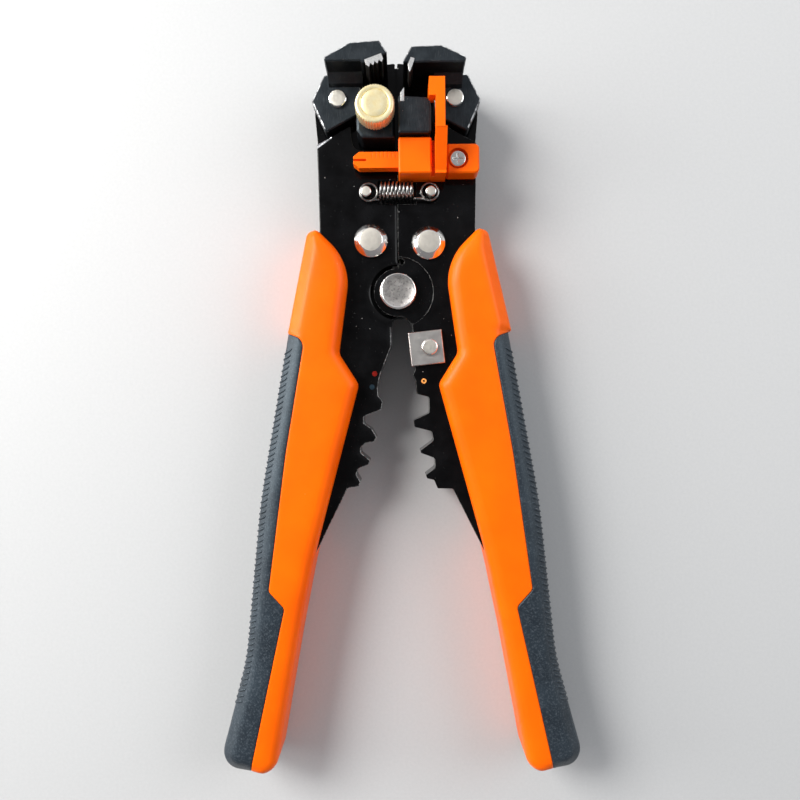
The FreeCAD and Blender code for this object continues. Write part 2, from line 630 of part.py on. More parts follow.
def cross_slot(body, centre, top, reach):
    """A cross recess in a screw's head."""
    for wide, tall in ((reach, 0.28), (0.28, reach)):
        body = body.cut(block((centre[0] - wide, centre[0] + wide),
                              (centre[1] - tall, centre[1] + tall), (top - 0.6, top + 1)))
    return body.removeSplitter()


def stop_slider():
    """The sleeve on the rod, the arm that climbs beside it and the hook over the wire channel."""
    bottom = FRONT[1] + 0.25
    low_y, high_y = SLEEVE_Y
    sleeve = prism([(SLEEVE_X[0], low_y, 0.5), (SLEEVE_X[1], low_y, 0.5),
                    (SLEEVE_X[1], high_y, 0.5), (SLEEVE_X[0], high_y, 0.5)], (bottom, SLIDER_TOP))
    sleeve = bevel(sleeve, 0.4, flat_at(SLIDER_TOP))
    web = block((SLEEVE_X[1] - 0.2, FOOT_X[0] + 0.2), (low_y, high_y), (bottom, SLIDER_TOP - 3.2))
    foot = block(FOOT_X, (low_y, high_y), (bottom, SLIDER_TOP))
    climb = [(RAMP_Y[0], SLIDER_TOP - 1), (high_y, SLIDER_TOP - 1), (high_y, BLOCK_TOP + GAP),
             (RAMP_Y[1], BLOCK_TOP + GAP), (RAMP_Y[1], ARM_TOP), (RAMP_Y[0], SLIDER_TOP)]
    climb = [vec(FOOT_X[0], y, z) for y, z in climb]
    side = Part.Face(Part.makePolygon(climb + climb[:1]))
    ramp = side.extrude(vec(FOOT_X[1] - FOOT_X[0], 0))
    over_block = (BLOCK_TOP + GAP, ARM_TOP)
    arm = block(ARM_X, (RAMP_Y[1] - 0.2, HOOK_Y[0] + 0.2), over_block)
    hook = block(HOOK_X, HOOK_Y, over_block)
    tab = block((HOOK_X[0], ARM_X[0]), (ANVIL_Y + 0.4, HOOK_Y[1]), (TAB_LOW_Z, ARM_TOP))
    body = sleeve.fuse(web).fuse(foot).fuse(ramp).fuse(arm).fuse(hook).fuse(tab)
    tunnel = block((0, FOOT_X[1] + 1), (ROD_Y[0] - SLIDER_SLACK, ROD_Y[1] + SLIDER_SLACK),
                   (ROD_Z[0] - SLIDER_SLACK, ROD_Z[1] + SLIDER_SLACK))
    return body.cut(tunnel).removeSplitter()


# ---- spring --------------------------------------------------------------------------------
def tension_spring():
    """The envelope of the close-wound coil, with a loop at each end round its post."""
    start = vec(-SPRING_HALF, SPRING_Y, SPRING_Z)
    coil = Part.makeCylinder(SPRING_R, 2 * SPRING_HALF, start, vec(1, 0, 0))
    inside = Part.makeCylinder(SPRING_R - SPRING_WIRE, 2 * SPRING_HALF, start, vec(1, 0, 0))
    body = coil.cut(inside)
    half_wire = SPRING_WIRE / 2
    neck_y = LOOP_Y - LOOP_R
    for side in (LEFT, RIGHT):
        loop_x = side * LOOP_X[side]
        loop = Part.makeTorus(LOOP_R, half_wire, vec(loop_x, LOOP_Y, SPRING_Z))
        neck_x = sorted((side * (SPRING_HALF - 0.5), loop_x))
        neck = block(neck_x, (neck_y - half_wire, neck_y + half_wire),
                     (SPRING_Z - half_wire, SPRING_Z + half_wire))
        body = body.fuse(loop).fuse(neck)
    return body.removeSplitter()


# ---- cutter and marks ----------------------------------------------------------------------
def cutter_plate():
    """The square hardened cutter, whose inner edge shears past the left lever's plates."""
    z_span = (FRONT[1] + CUTTER_LIFT, FRONT[1] + CUTTER_LIFT + CUTTER_THICK)
    half = CUTTER_SIDE / 2
    plate = block((-half, half), (-half, half), z_span)
    plate = bevel(plate, 0.2, flat_at(z_span[1]))
    plate = turned(plate, (0, 0), CUTTER_TURN)
    plate.translate(vec(CUTTER_AT[0], CUTTER_AT[1]))
    pad = cylinder(CUTTER_SCREW_AT, 3.0, (FRONT[1], FRONT[1] + CUTTER_LIFT + 0.1))
    plate = plate.fuse(pad).cut(cylinder(CUTTER_SCREW_AT, CUTTER_SCREW_R, THROUGH))
    return plate.removeSplitter()


def cutter_screw():
    seat = FRONT[1] + CUTTER_LIFT + CUTTER_THICK
    head = [(0, seat), (CUTTER_HEAD_R, seat), (CUTTER_HEAD_R, seat + 0.6),
            (CUTTER_HEAD_R - 0.5, seat + 1.1), (0, seat + 1.1)]
    shank = cylinder(CUTTER_SCREW_AT, CUTTER_SCREW_R, (MIDDLE[0] + 0.1, seat + 0.2))
    return revolved(head, CUTTER_SCREW_AT).fuse(shank)


def crimp_mark(centre, radius, hole=0.0):
    """A paint spot beside a crimping nest, or a ring if it has a hole."""
    z_span = (FRONT[1], FRONT[1] + MARK_THICK)
    spot = cylinder(centre, radius, z_span)
    return spot.cut(cylinder(centre, hole, z_span)) if hole else spot


# ---- grips ---------------------------------------------------------------------------------
def grip_block(outline):
    """A full-thickness block of an outline, with its long edges rounded."""
    body = prism(outline, (0, GRIP_THICK))
    return soften(body, 2.3, lambda edge: flat_at(0.0)(edge) or flat_at(GRIP_THICK)(edge))


def moulded_over_lever(body, side):
    """Hollows a grip piece, drawn for the right, where it is moulded over its lever."""
    body = on_side(body, side)
    for piece in (lever_plate(side, FRONT, with_disc=side == RIGHT),
                  lever_plate(side, BACK, with_disc=side == LEFT), handle_spacer(side)):
        body = body.cut(piece)
    return max(body.Solids, key=lambda solid: solid.Volume)


def grip_shell(side):
    """The hard inner part of a grip."""
    outside = prism(cover_outline(), (-1, GRIP_THICK + 1))
    return moulded_over_lever(grip_block(shell_outline(side)).cut(outside), side)


def grip_cover(side):
    """The soft outer part of a grip."""
    outside = prism(cover_outline(), (-1, GRIP_THICK + 1))
    return moulded_over_lever(grip_block(grip_outline()).common(outside), side)


# ---- every node ----------------------------------------------------------------------------
def nodes():
    made = {
        "left_front_plate": left_front_plate(),
        "left_back_plate": left_back_plate(),
        "right_front_plate": right_front_plate(),
        "right_back_plate": right_back_plate(),
        "main_pivot_rivet": main_pivot_rivet(),
        "left_outer_jaw": left_outer_jaw(),
        "right_outer_jaw": right_outer_jaw(),
        "upper_gripping_pad": upper_gripping_pad(),
        "lower_gripping_pad": lower_gripping_pad(),
        "upper_stripping_blade": upper_stripping_blade(),
        "lower_stripping_blade": lower_stripping_blade(),
        "left_inner_block": left_inner_block(),
        "right_inner_block": right_inner_block(),
        "adjuster_stud": adjuster_stud(),
        "adjuster_knob": adjuster_knob(),
        "stop_bracket": stop_bracket(),
        "bracket_screw": bracket_screw(),
        "stop_slider": stop_slider(),
        "tension_spring": tension_spring(),
        "cutter_plate": cutter_plate(),
        "cutter_screw": cutter_screw(),
        "red_crimp_mark": crimp_mark((-6.9, -23.4), 0.75),
        "blue_crimp_mark": crimp_mark((-7.7, -27.2), 0.75),
        "orange_crimp_mark": crimp_mark((7.2, -25.6), 0.75, hole=0.3),
    }
    for name, side in (("left", LEFT), ("right", RIGHT)):
        made[name + "_head_spacer"] = head_spacer(side)
        made[name + "_handle_spacer"] = handle_spacer(side)
        made[name + "_frame_rivet"] = frame_rivet(side)
        made[name + "_jaw_pin"] = jaw_pin(side)
        made[name + "_spring_post"] = spring_post(side)
        made[name + "_link"] = link(side)
        made[name + "_link_top_pin"] = link_top_pin(side)
        made[name + "_link_foot_pin"] = link_foot_pin(side)
        made[name + "_grip_shell"] = grip_shell(side)
        made[name + "_grip_cover"] = grip_cover(side)
    return made


def main():
    os.makedirs("parts", exist_ok=True)
    for name, shape in sorted(nodes().items()):
        shape.translate(vec(0, PIVOT_Y))
        shape.exportStep("parts/" + name + ".step")
        print("%-24s solids %d  valid %s  volume %.1f" % (name, len(shape.Solids), shape.isValid(),
                                                          shape.Volume))


main()
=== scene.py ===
"""Looks of the wire stripper: finishes, bevelled steelwork, moulded grips, coil spring, light.

Everything is in metres in the model's own frame: +Y runs towards the jaws, +Z out of the front,
and the grips lie on z = 0.  The CAD nodes give every place and size.
"""

import json
import math

import bmesh
import bpy
import numpy as np
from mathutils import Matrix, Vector, geometry


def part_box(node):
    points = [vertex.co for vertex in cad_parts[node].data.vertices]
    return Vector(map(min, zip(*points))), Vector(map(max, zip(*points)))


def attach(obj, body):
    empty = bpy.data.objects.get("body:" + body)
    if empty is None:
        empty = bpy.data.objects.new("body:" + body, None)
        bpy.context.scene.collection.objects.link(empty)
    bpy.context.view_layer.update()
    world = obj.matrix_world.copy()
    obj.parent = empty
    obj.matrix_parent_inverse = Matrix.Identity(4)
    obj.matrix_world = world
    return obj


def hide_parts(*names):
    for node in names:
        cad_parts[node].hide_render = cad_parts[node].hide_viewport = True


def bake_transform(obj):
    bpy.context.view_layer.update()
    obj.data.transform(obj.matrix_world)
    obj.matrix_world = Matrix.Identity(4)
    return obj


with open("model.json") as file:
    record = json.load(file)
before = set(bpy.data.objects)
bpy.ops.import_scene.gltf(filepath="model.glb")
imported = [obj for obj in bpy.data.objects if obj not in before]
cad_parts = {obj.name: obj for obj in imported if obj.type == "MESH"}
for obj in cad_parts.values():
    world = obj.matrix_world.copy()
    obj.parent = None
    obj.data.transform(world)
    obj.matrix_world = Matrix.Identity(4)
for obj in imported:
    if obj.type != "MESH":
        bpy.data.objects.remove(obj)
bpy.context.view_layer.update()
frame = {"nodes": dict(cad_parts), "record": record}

MM = 0.001


# ---- camera, light and floor -----------------------------
CAMERA_PLACE = (0.0003, 0.0038, 0.220)
CAMERA_ROLL = math.radians(-0.52)
LENS_MM = 32.2
SENSOR_MM = 36.0


def add_camera():
    """Straight above the tool and close to it, as a hand-held phone would be."""
    data = bpy.data.cameras.new("camera")
    data.lens = LENS_MM
    data.sensor_width = SENSOR_MM
    data.clip_start = 0.01
    camera = bpy.data.objects.new("camera", data)
    camera.location = CAMERA_PLACE
    camera.rotation_euler = (0, 0, CAMERA_ROLL)
    bpy.context.scene.collection.objects.link(camera)
    bpy.context.scene.camera = camera


def add_area_light(name, place, size, power, colour):
    """A soft round light that faces the tool's middle."""
    data = bpy.data.lights.new(name, "AREA")
    data.shape = "DISK"
    data.size = size
    data.energy = power
    data.color = colour
    light = bpy.data.objects.new(name, data)
    light.location = place
    light.rotation_euler = (-Vector(place)).to_track_quat("-Z", "Y").to_euler()
    bpy.context.scene.collection.objects.link(light)


def add_room():
    """A pale room, brighter ahead of the jaws and at the sides than overhead and behind."""
    world = bpy.data.worlds.new("room")
    world.use_nodes = True
    tree = world.node_tree
    background = tree.nodes["Background"]
    direction = tree.nodes.new("ShaderNodeTexCoord").outputs["Generated"]
    parts = tree.nodes.new("ShaderNodeSeparateXYZ")
    tree.links.new(direction, parts.inputs["Vector"])

    def ramp(output, low, high, stops):
        spread = tree.nodes.new("ShaderNodeMapRange")
        spread.inputs["From Min"].default_value = low
        spread.inputs["From Max"].default_value = high
        tree.links.new(output, spread.inputs["Value"])
        made = tree.nodes.new("ShaderNodeValToRGB")
        while len(made.color_ramp.elements) < len(stops):
            made.color_ramp.elements.new(1.0)
        for element, (position, level) in zip(made.color_ramp.elements, stops):
            element.position = position
            element.color = (level, level, level * 1.02, 1)
        tree.links.new(spread.outputs["Result"], made.inputs["Fac"])
        return made.outputs["Color"]

    by_height = ramp(parts.outputs["Z"], 0.0, 1.0,
                     [(0.0, 0.75), (0.5, 0.95), (0.80, 0.80), (0.94, 0.50), (1.0, 0.26)])
    by_way = ramp(parts.outputs["Y"], -1.0, 1.0,
                  [(0.0, 0.35), (0.38, 0.55), (0.56, 0.95), (1.0, 1.0)])
    both = tree.nodes.new("ShaderNodeMix")
    both.data_type = "RGBA"
    both.blend_type = "MULTIPLY"
    both.inputs["Factor"].default_value = 1.0
    tree.links.new(by_height, both.inputs[6])
    tree.links.new(by_way, both.inputs[7])
    tree.links.new(both.outputs[2], background.inputs["Color"])
    background.inputs["Strength"].default_value = 0.72
    bpy.context.scene.world = world
    bpy.context.scene.view_settings.view_transform = "Standard"


DAYLIGHT = (1.0, 0.985, 0.96)
BOUNCED = (0.95, 0.98, 1.0)


def add_lights():
    """A window up and to the left, a lower one further left, and a weaker bounce opposite."""
    add_area_light("window", (-0.52, 0.34, 0.52), 0.40, 8.0, DAYLIGHT)
    add_area_light("side_window", (-0.72, 0.12, 0.20), 0.45, 4.5, DAYLIGHT)
    add_area_light("bounce", (0.60, 0.22, 0.45), 0.50, 2.2, BOUNCED)


# ---- finishes --------------------------------------------
class Finish:
    """A node material: one shader, with textures laid out in the object's own coordinates."""

    def __init__(self, name, **values):
        self.material = bpy.data.materials.new(name)
        self.material.use_nodes = True
        self.tree = self.material.node_tree
        self.shader = self.tree.nodes["Principled BSDF"]
        for socket, value in values.items():
            self.shader.inputs[socket.replace("_", " ")].default_value = value
        self.coords = self.node("ShaderNodeTexCoord").outputs["Object"]
        self.normal = None

    def node(self, kind, **settings):
        made = self.tree.nodes.new(kind)
        for key, value in settings.items():
            setattr(made, key, value)
        return made

    def link(self, output, target):
        self.tree.links.new(output, target)

    def stretched(self, stretch):
        """Object coordinates, scaled differently along each axis, for grain that runs one way."""
        mapping = self.node("ShaderNodeMapping")
        mapping.inputs["Scale"].default_value = stretch
        self.link(self.coords, mapping.inputs["Vector"])
        return mapping.outputs["Vector"]

    def noise(self, size, detail=3.0, rough=0.5, stretch=None):
        """Cloudy noise whose blobs are about this many millimetres across."""
        made = self.node("ShaderNodeTexNoise")
        made.inputs["Scale"].default_value = 1 / (size * MM)
        made.inputs["Detail"].default_value = detail
        made.inputs["Roughness"].default_value = rough
        self.link(self.stretched(stretch) if stretch else self.coords, made.inputs["Vector"])
        return made.outputs["Fac"]

    def ramp(self, factor, stops):
        """A colour ramp through (position, colour) stops."""
        made = self.node("ShaderNodeValToRGB")
        elements = made.color_ramp.elements
        while len(elements) < len(stops):
            elements.new(1.0)
        for element, (position, colour) in zip(elements, stops):
            element.position = position
            element.color = (*colour, 1)
        self.link(factor, made.inputs["Fac"])
        return made.outputs["Color"]

    def level(self, factor, low, high, to_low, to_high):
        """Stretches a factor's range onto another range."""
        made = self.node("ShaderNodeMapRange")
        for socket, value in (("From Min", low), ("From Max", high),
                              ("To Min", to_low), ("To Max", to_high)):
            made.inputs[socket].default_value = value
        self.link(factor, made.inputs["Value"])
        return made.outputs["Result"]

    def maths(self, operation, a, b):
        made = self.node("ShaderNodeMath", operation=operation)
        for socket, value in zip(made.inputs, (a, b)):
            if isinstance(value, (int, float)):
                socket.default_value = value
            else:
                self.link(value, socket)
        return made.outputs["Value"]

    def mix(self, factor, colour_a, colour_b):
        """One colour over another where the factor is one."""
        made = self.node("ShaderNodeMix", data_type="RGBA")
        self.link(factor, made.inputs["Factor"])
        for socket, colour in ((made.inputs[6], colour_a), (made.inputs[7], colour_b)):
            if isinstance(colour, tuple):
                socket.default_value = (*colour, 1)
            else:
                self.link(colour, socket)
        return made.outputs[2]

    def specks(self, spacing, size, share):
        """One where a speck of dust or a chip lies: small dots, in a share of the cells."""
        cells = self.node("ShaderNodeTexVoronoi")
        cells.inputs["Scale"].default_value = 1 / (spacing * MM)
        self.link(self.coords, cells.inputs["Vector"])
        near = self.maths("LESS_THAN", cells.outputs["Distance"], size / spacing)
        picked = self.node("ShaderNodeSeparateColor")
        self.link(cells.outputs["Color"], picked.inputs["Color"])
        kept = self.maths("LESS_THAN", picked.outputs["Red"], share)
        return self.maths("MULTIPLY", near, kept)

    def scratches(self, length, width, turn, share):
        """One along thin straight marks that lie about one direction in the object's plan."""
        turned = self.node("ShaderNodeMapping")
        turned.inputs["Rotation"].default_value = (0, 0, math.radians(turn))
        across, along = 1 / (width * MM), 1 / (length * MM)
        turned.inputs["Scale"].default_value = (across, along, along)
        self.link(self.coords, turned.inputs["Vector"])
        made = self.node("ShaderNodeTexNoise")
        made.inputs["Scale"].default_value = 1.0
        made.inputs["Detail"].default_value = 1.0
        self.link(turned.outputs["Vector"], made.inputs["Vector"])
        return self.maths("GREATER_THAN", made.outputs["Fac"], share)

    def colour(self, output):
        self.link(output, self.shader.inputs["Base Color"])

    def roughness(self, output):
        self.link(output, self.shader.inputs["Roughness"])

    def bump(self, height, depth):
        """Adds relief: depth is in millimetres."""
        made = self.node("ShaderNodeBump")
        made.inputs["Distance"].default_value = depth * MM
        self.link(height, made.inputs["Height"])
        if self.normal is not None:
            self.link(self.normal, made.inputs["Normal"])
        self.normal = made.outputs["Normal"]
        self.link(self.normal, self.shader.inputs["Normal"])


DUST = (0.42, 0.42, 0.40)
COOL_GLOSS = (0.76, 0.91, 1.0, 1.0)  # the tint of the castings' and covers' reflections


def gloss_black():
    """Black paint on the stamped plates, with orange-peel, haze and specks of dust."""
    made = Finish("gloss_black_paint", Specular_IOR_Level=0.15)
    haze = made.noise(7.0, 4.0, 0.6)
    dust = made.specks(2.1, 0.11, 0.35)
    fine = made.specks(0.6, 0.04, 0.20)
    both = made.maths("MAXIMUM", dust, made.maths("MULTIPLY", fine, 0.4))
    paint = made.ramp(haze, [(0.35, (0.0015, 0.0015, 0.0017)), (0.75, (0.005, 0.0052, 0.0058))])
    made.colour(made.mix(both, paint, DUST))
    smooth = made.level(haze, 0.3, 0.75, 0.07, 0.18)
    made.roughness(made.maths("ADD", smooth, made.maths("MULTIPLY", both, 0.5)))
    made.bump(made.noise(1.1, 2.0), 0.012)
    made.bump(both, 0.015)
    return made.material


def worn_edge(name, size, coat, metal, bare_from_to, metallic_from_to, rough_from_to):
    """An edge whose coat has thinned and shows metal where the noise is high."""
    made = Finish(name)
    wear = made.noise(size, 5.0, 0.7)
    made.colour(made.mix(made.level(wear, *bare_from_to, 0.0, 1.0), coat, metal))
    made.link(made.level(wear, *metallic_from_to, 0.0, 0.3), made.shader.inputs["Metallic"])
    made.roughness(made.level(wear, 0.4, 0.6, *rough_from_to))
    made.bump(wear, 0.02)
    return made.material


def casting(name, gloss, depth):
    """Dark blacked castings with fine brushing and light rubbing marks; depth scales the tones,
    and below one it paints shade, for the darker copy on upright walls.
    """
    made = Finish(name, Specular_IOR_Level=gloss, Specular_Tint=COOL_GLOSS)

    def shade(*colour):
        return tuple(value * depth for value in colour)

    grain = made.noise(0.22, 4.0, 0.65, stretch=(1.0, 0.12, 1.0))
    cloud = made.noise(3.5, 4.0, 0.6)
    rubbed = made.scratches(3.0, 0.05, 12.0, 0.72)
    chips = made.specks(1.5, 0.07, 0.25)
    marks = made.maths("MAXIMUM", made.maths("MULTIPLY", rubbed, 0.25), chips)
    tone = made.ramp(grain, [(0.30, shade(0.005, 0.0062, 0.0075)),
                             (0.72, shade(0.016, 0.019, 0.023))])
    dusty = made.mix(made.level(cloud, 0.45, 0.75, 0.0, 0.35), tone,
                     shade(0.029, 0.034, 0.040))
    made.colour(made.mix(marks, dusty, (0.26, 0.26, 0.26)))
    made.roughness(made.level(cloud, 0.3, 0.7, 0.30, 0.46))
    made.bump(grain, 0.010)
    made.bump(marks, 0.01)
    return made.material


def plated(name, colour, shade, rough, grain_size=0.5, stretch=None, relief=0.003, marks=0.25):
    """Bare or plated metal with small scuffs, cloudy tarnish and fine relief."""
    made = Finish(name, Metallic=1.0)
    cloud = made.noise(2.6, 3.0, 0.5)
    grain = made.noise(grain_size, 4.0, 0.6, stretch=stretch)
    scuff = made.scratches(2.2, 0.04, 35.0, 0.70)
    tone = made.ramp(cloud, [(0.35, shade), (0.60, colour)])
    made.colour(made.mix(made.maths("MULTIPLY", scuff, marks), tone, shade))
    spread = made.level(grain, 0.3, 0.7, rough * 0.8, rough * 1.25)
    made.roughness(made.maths("ADD", spread, made.maths("MULTIPLY", scuff, 0.1)))
    made.bump(grain, relief)
    made.bump(scuff, relief * 0.6)
    return made.material


def brass():
    """Pale turned brass with fine rings from the lathe and a little tarnish."""
    made = Finish("pale_brass", Metallic=0.75)
    low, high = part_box("adjuster_knob")
    local = made.node("ShaderNodeVectorMath", operation="SUBTRACT")
    local.inputs[1].default_value = (low + high) / 2
    made.link(made.coords, local.inputs[0])
    rings = made.node("ShaderNodeTexWave", wave_type="RINGS", rings_direction="Z")
    rings.inputs["Scale"].default_value = 1 / (0.9 * MM)
    rings.inputs["Distortion"].default_value = 0.6
    made.link(local.outputs["Vector"], rings.inputs["Vector"])
    cloud = made.noise(1.6, 4.0, 0.6)
    made.colour(made.ramp(cloud, [(0.3, (0.80, 0.66, 0.34)), (0.6, (0.95, 0.85, 0.54)),
                                  (0.8, (0.98, 0.91, 0.66))]))
    made.roughness(made.level(cloud, 0.3, 0.7, 0.44, 0.30))
    made.bump(rings.outputs["Fac"], 0.004)
    made.bump(cloud, 0.006)
    return made.material


def orange_plastic():
    """Moulded safety-orange plastic, faintly mottled, with a very fine texture."""
    made = Finish("orange_plastic", Specular_IOR_Level=0.16, Subsurface_Weight=0.05,
                  Subsurface_Radius=(0.0012, 0.0003, 0.0001))
    cloud = made.noise(14.0, 3.0, 0.5)
    grain = made.noise(0.28, 2.0, 0.5)
    dust = made.specks(4.5, 0.07, 0.25)
    tone = made.ramp(cloud, [(0.3, (0.93, 0.118, 0.0)), (0.7, (1.0, 0.144, 0.0))])
    made.colour(made.mix(made.maths("MULTIPLY", dust, 0.5), tone, (0.95, 0.72, 0.5)))
    made.roughness(made.level(grain, 0.3, 0.7, 0.33, 0.42))
    made.bump(grain, 0.006)
    made.bump(made.noise(9.0, 2.0, 0.4), 0.05)
    return made.material


def rubber():
    """Soft blue-black overmould with a fine leathery grain and dust in it."""
    made = Finish("black_rubber", Specular_IOR_Level=0.45, Sheen_Weight=0.12,
                  Sheen_Roughness=0.4, Specular_Tint=COOL_GLOSS)
    grain = made.noise(0.55, 3.0, 0.75)
    cloud = made.noise(8.0, 4.0, 0.6)
    dust = made.specks(1.3, 0.055, 0.30)
    pale = made.maths("MAXIMUM", made.maths("MULTIPLY", dust, 0.25),
                      made.level(grain, 0.50, 0.72, 0.0, 0.20))
    tone = made.ramp(cloud, [(0.3, (0.008, 0.012, 0.018)), (0.75, (0.020, 0.029, 0.039))])
    made.colour(made.mix(pale, tone, (0.26, 0.30, 0.34)))
    made.roughness(made.level(grain, 0.3, 0.7, 0.40, 0.58))
    made.bump(grain, 0.05)
    return made.material


def paint_spot(name, colour, shade):
    """A dab of paint, thin at its rim."""
    made = Finish(name, Specular_IOR_Level=0.15)
    cloud = made.noise(0.5, 3.0, 0.6)
    made.colour(made.ramp(cloud, [(0.35, shade), (0.65, colour)]))
    made.roughness(made.level(cloud, 0.3, 0.7, 0.3, 0.45))
    made.bump(cloud, 0.02)
    return made.material


def floor_finish():
    """Plain pale paper."""
    made = Finish("pale_paper", Specular_IOR_Level=0.3)
    fibre = made.noise(0.9, 4.0, 0.6)
    made.colour(made.ramp(fibre, [(0.3, (0.50, 0.507, 0.51)), (0.7, (0.53, 0.535, 0.538))]))
    made.roughness(made.level(fibre, 0.3, 0.7, 0.55, 0.7))
    made.bump(fibre, 0.02)
    return made.material


FINISH = {
    "steel_black": gloss_black(),
    "steel_black_edge": worn_edge("worn_black_edge", 0.7, (0.02, 0.02, 0.021), (0.36, 0.36, 0.35),
                                  (0.46, 0.60), (0.48, 0.62), (0.22, 0.38)),
    "casting": casting("blacked_casting", 0.36, 1.0),
    # painted shade: a darker, duller copy of the casting finish for upright walls
    "casting_painted_shade": casting("blacked_casting_painted_shade", 0.12, 0.35),
    # worn edges, and a painted highlight on the outer jaws' chamfers that face the light
    "casting_wear_and_painted_highlight": worn_edge("worn_casting_wear_and_painted_highlight", 1.8, (0.05, 0.053, 0.058), (0.62, 0.64, 0.65),
                              (0.47, 0.58), (0.47, 0.58), (0.45, 0.28)),
    "nickel": plated("bright_nickel", (0.90, 0.88, 0.85), (0.80, 0.78, 0.74), 0.13),
    "nickel_flat": plated("scuffed_nickel", (0.86, 0.82, 0.73), (0.76, 0.72, 0.64), 0.38, 0.35,
                          marks=0.15),
    "scratched_steel": plated("scratched_steel", (0.66, 0.63, 0.60), (0.46, 0.44, 0.42), 0.30, 0.6,
                              relief=0.006, marks=0.9),
    # painted highlight: bright metal on the left plate's bevelled shoulder
    "shoulder_painted_highlight": plated("painted_highlight_shoulder", (0.80, 0.81, 0.83), (0.45, 0.46, 0.48), 0.34),
    "bright_steel": plated("ground_steel", (0.95, 0.95, 0.93), (0.84, 0.84, 0.83), 0.30,
                           0.15, (1.0, 1.0, 0.08)),
    "satin_steel": plated("satin_steel", (0.56, 0.545, 0.52), (0.47, 0.455, 0.44), 0.38,
                          0.2, (0.05, 1.0, 1.0), 0.006),
    "link_steel": plated("plain_steel", (0.52, 0.52, 0.52), (0.36, 0.36, 0.37), 0.38,
                         0.3, (1.0, 0.1, 1.0)),
    # painted shade: a dark copy of the ground steel for the pads' and blades' walls
    "steel_painted_shade": plated("ground_steel_painted_shade", (0.10, 0.095, 0.09), (0.05, 0.048, 0.045), 0.42,
                         0.3, (1.0, 1.0, 0.1)),
    "spring_steel": plated("spring_steel", (0.36, 0.35, 0.34), (0.22, 0.215, 0.21), 0.22),
    "brass": brass(),
    "orange_plastic": orange_plastic(),
    "black_rubber": rubber(),
    "red_paint": paint_spot("red_paint", (0.22, 0.008, 0.004), (0.10, 0.004, 0.002)),
    "blue_paint": paint_spot("blue_paint", (0.014, 0.030, 0.042), (0.008, 0.016, 0.024)),
    "orange_paint": paint_spot("orange_paint", (0.85, 0.38, 0.10), (0.60, 0.22, 0.05)),
}


# ---- mesh helpers ----------------------------------------
BODY_OF = {node: body for body, members in frame["record"]["behaviour"]["bodies"].items()
           for node in members}
DOUBLED = 0.002 * MM         # points of a CAD mesh nearer than this are one
SLIVER = 0.001 * MM
SAME_PLANE = math.radians(0.4)
FACE_WEIGHT = 80             # how far large faces rule the shading


def add_piece(node, mesh, slot, edge_slot=None, rides=True):
    """Links a mesh as the piece that stands for a CAD node, and rides on its body if it rides."""
    mesh.materials.append(FINISH[slot])
    if edge_slot:
        mesh.materials.append(FINISH[edge_slot])
    piece = bpy.data.objects.new(node + "_piece", mesh)
    bpy.context.scene.collection.objects.link(piece)
    if rides:
        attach(piece, BODY_OF[node])
    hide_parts(node)
    return piece


def to_mesh(bm, name):
    """Ends a bmesh as a mesh with outward, smooth faces."""
    bmesh.ops.recalc_face_normals(bm, faces=bm.faces)
    for face in bm.faces:
        face.smooth = True
    mesh = bpy.data.meshes.new(name)
    bm.to_mesh(mesh)
    bm.free()
    return mesh


def weigh_normals(piece, keep_sharp):
    shading = piece.modifiers.new("flat_faces", "WEIGHTED_NORMAL")
    shading.keep_sharp = keep_sharp
    shading.weight = FACE_WEIGHT


def clean_copy(node):
    """A node's mesh with its doubled points merged and its flat faces made whole."""
    bm = bmesh.new()
    bm.from_mesh(frame["nodes"][node].data)
    bmesh.ops.remove_doubles(bm, verts=bm.verts, dist=DOUBLED)
    bmesh.ops.dissolve_degenerate(bm, dist=SLIVER, edges=bm.edges)
    bmesh.ops.dissolve_limit(bm, angle_limit=SAME_PLANE, verts=bm.verts, edges=bm.edges)
    for face in bm.faces:
        face.material_index = 0
    mesh = to_mesh(bm, node + "_piece")
    mesh.materials.clear()
    return mesh


def bevelled(node, slot, width, segments, edge_slot=None):
    """A CAD node's shape with its edges broken, which catch the light as real ones do."""
    piece = add_piece(node, clean_copy(node), slot, edge_slot)
    rounding = piece.modifiers.new("broken_edges", "BEVEL")
    rounding.width = width * MM
    rounding.segments = segments
    rounding.limit_method = "ANGLE"
    rounding.angle_limit = math.radians(24)
    rounding.use_clamp_overlap = True
    rounding.harden_normals = False
    if edge_slot:
        rounding.material = 1
    weigh_normals(piece, keep_sharp=False)
    return piece


WALL_TILT, SLOPE_TILT = 0.5, 0.9  # |normal z| below which a face is a wall, or else a slope
CHAMFER_AREA = 12 * MM * MM       # a slope smaller than this is a chamfer
CHAMFER_IN_SHADE = -0.3                # normal y below which a chamfer looks back along the tool, to the shaded side, and gets no painted highlight


def paint_shade_on_walls(piece, slot, worn_and_lit_chamfers=False):
    """Paints shade on a piece's upright faces with a darker finish, and gives its outer chamfers
    that don't look back along the tool that of its edges: wear with a painted highlight.
    """
    mesh = piece.data
    mesh.materials.append(FINISH[slot])
    for polygon in mesh.polygons:
        tilt = abs(polygon.normal.z)
        chamfer = tilt < SLOPE_TILT and polygon.area < CHAMFER_AREA
        # upright faces get the darker finish: painted shade
        if tilt < WALL_TILT:
            polygon.material_index = len(mesh.materials) - 1
        # chamfers that don't look back along the tool get the edge finish: wear and a painted
        # highlight
        elif worn_and_lit_chamfers and chamfer and polygon.normal.y > CHAMFER_IN_SHADE:
            polygon.material_index = 1


def finish_node(node, slot):
    """Keeps a CAD node as it is, with a finish."""
    shown = frame["nodes"][node]
    shown.data.materials.clear()
    shown.data.materials.append(FINISH[slot])


def centre_of(node):
    low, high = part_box(node)
    return (low + high) / 2


def heights(node):
    """A node's lowest and highest z, in millimetres."""
    low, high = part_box(node)
    return low.z / MM, high.z / MM


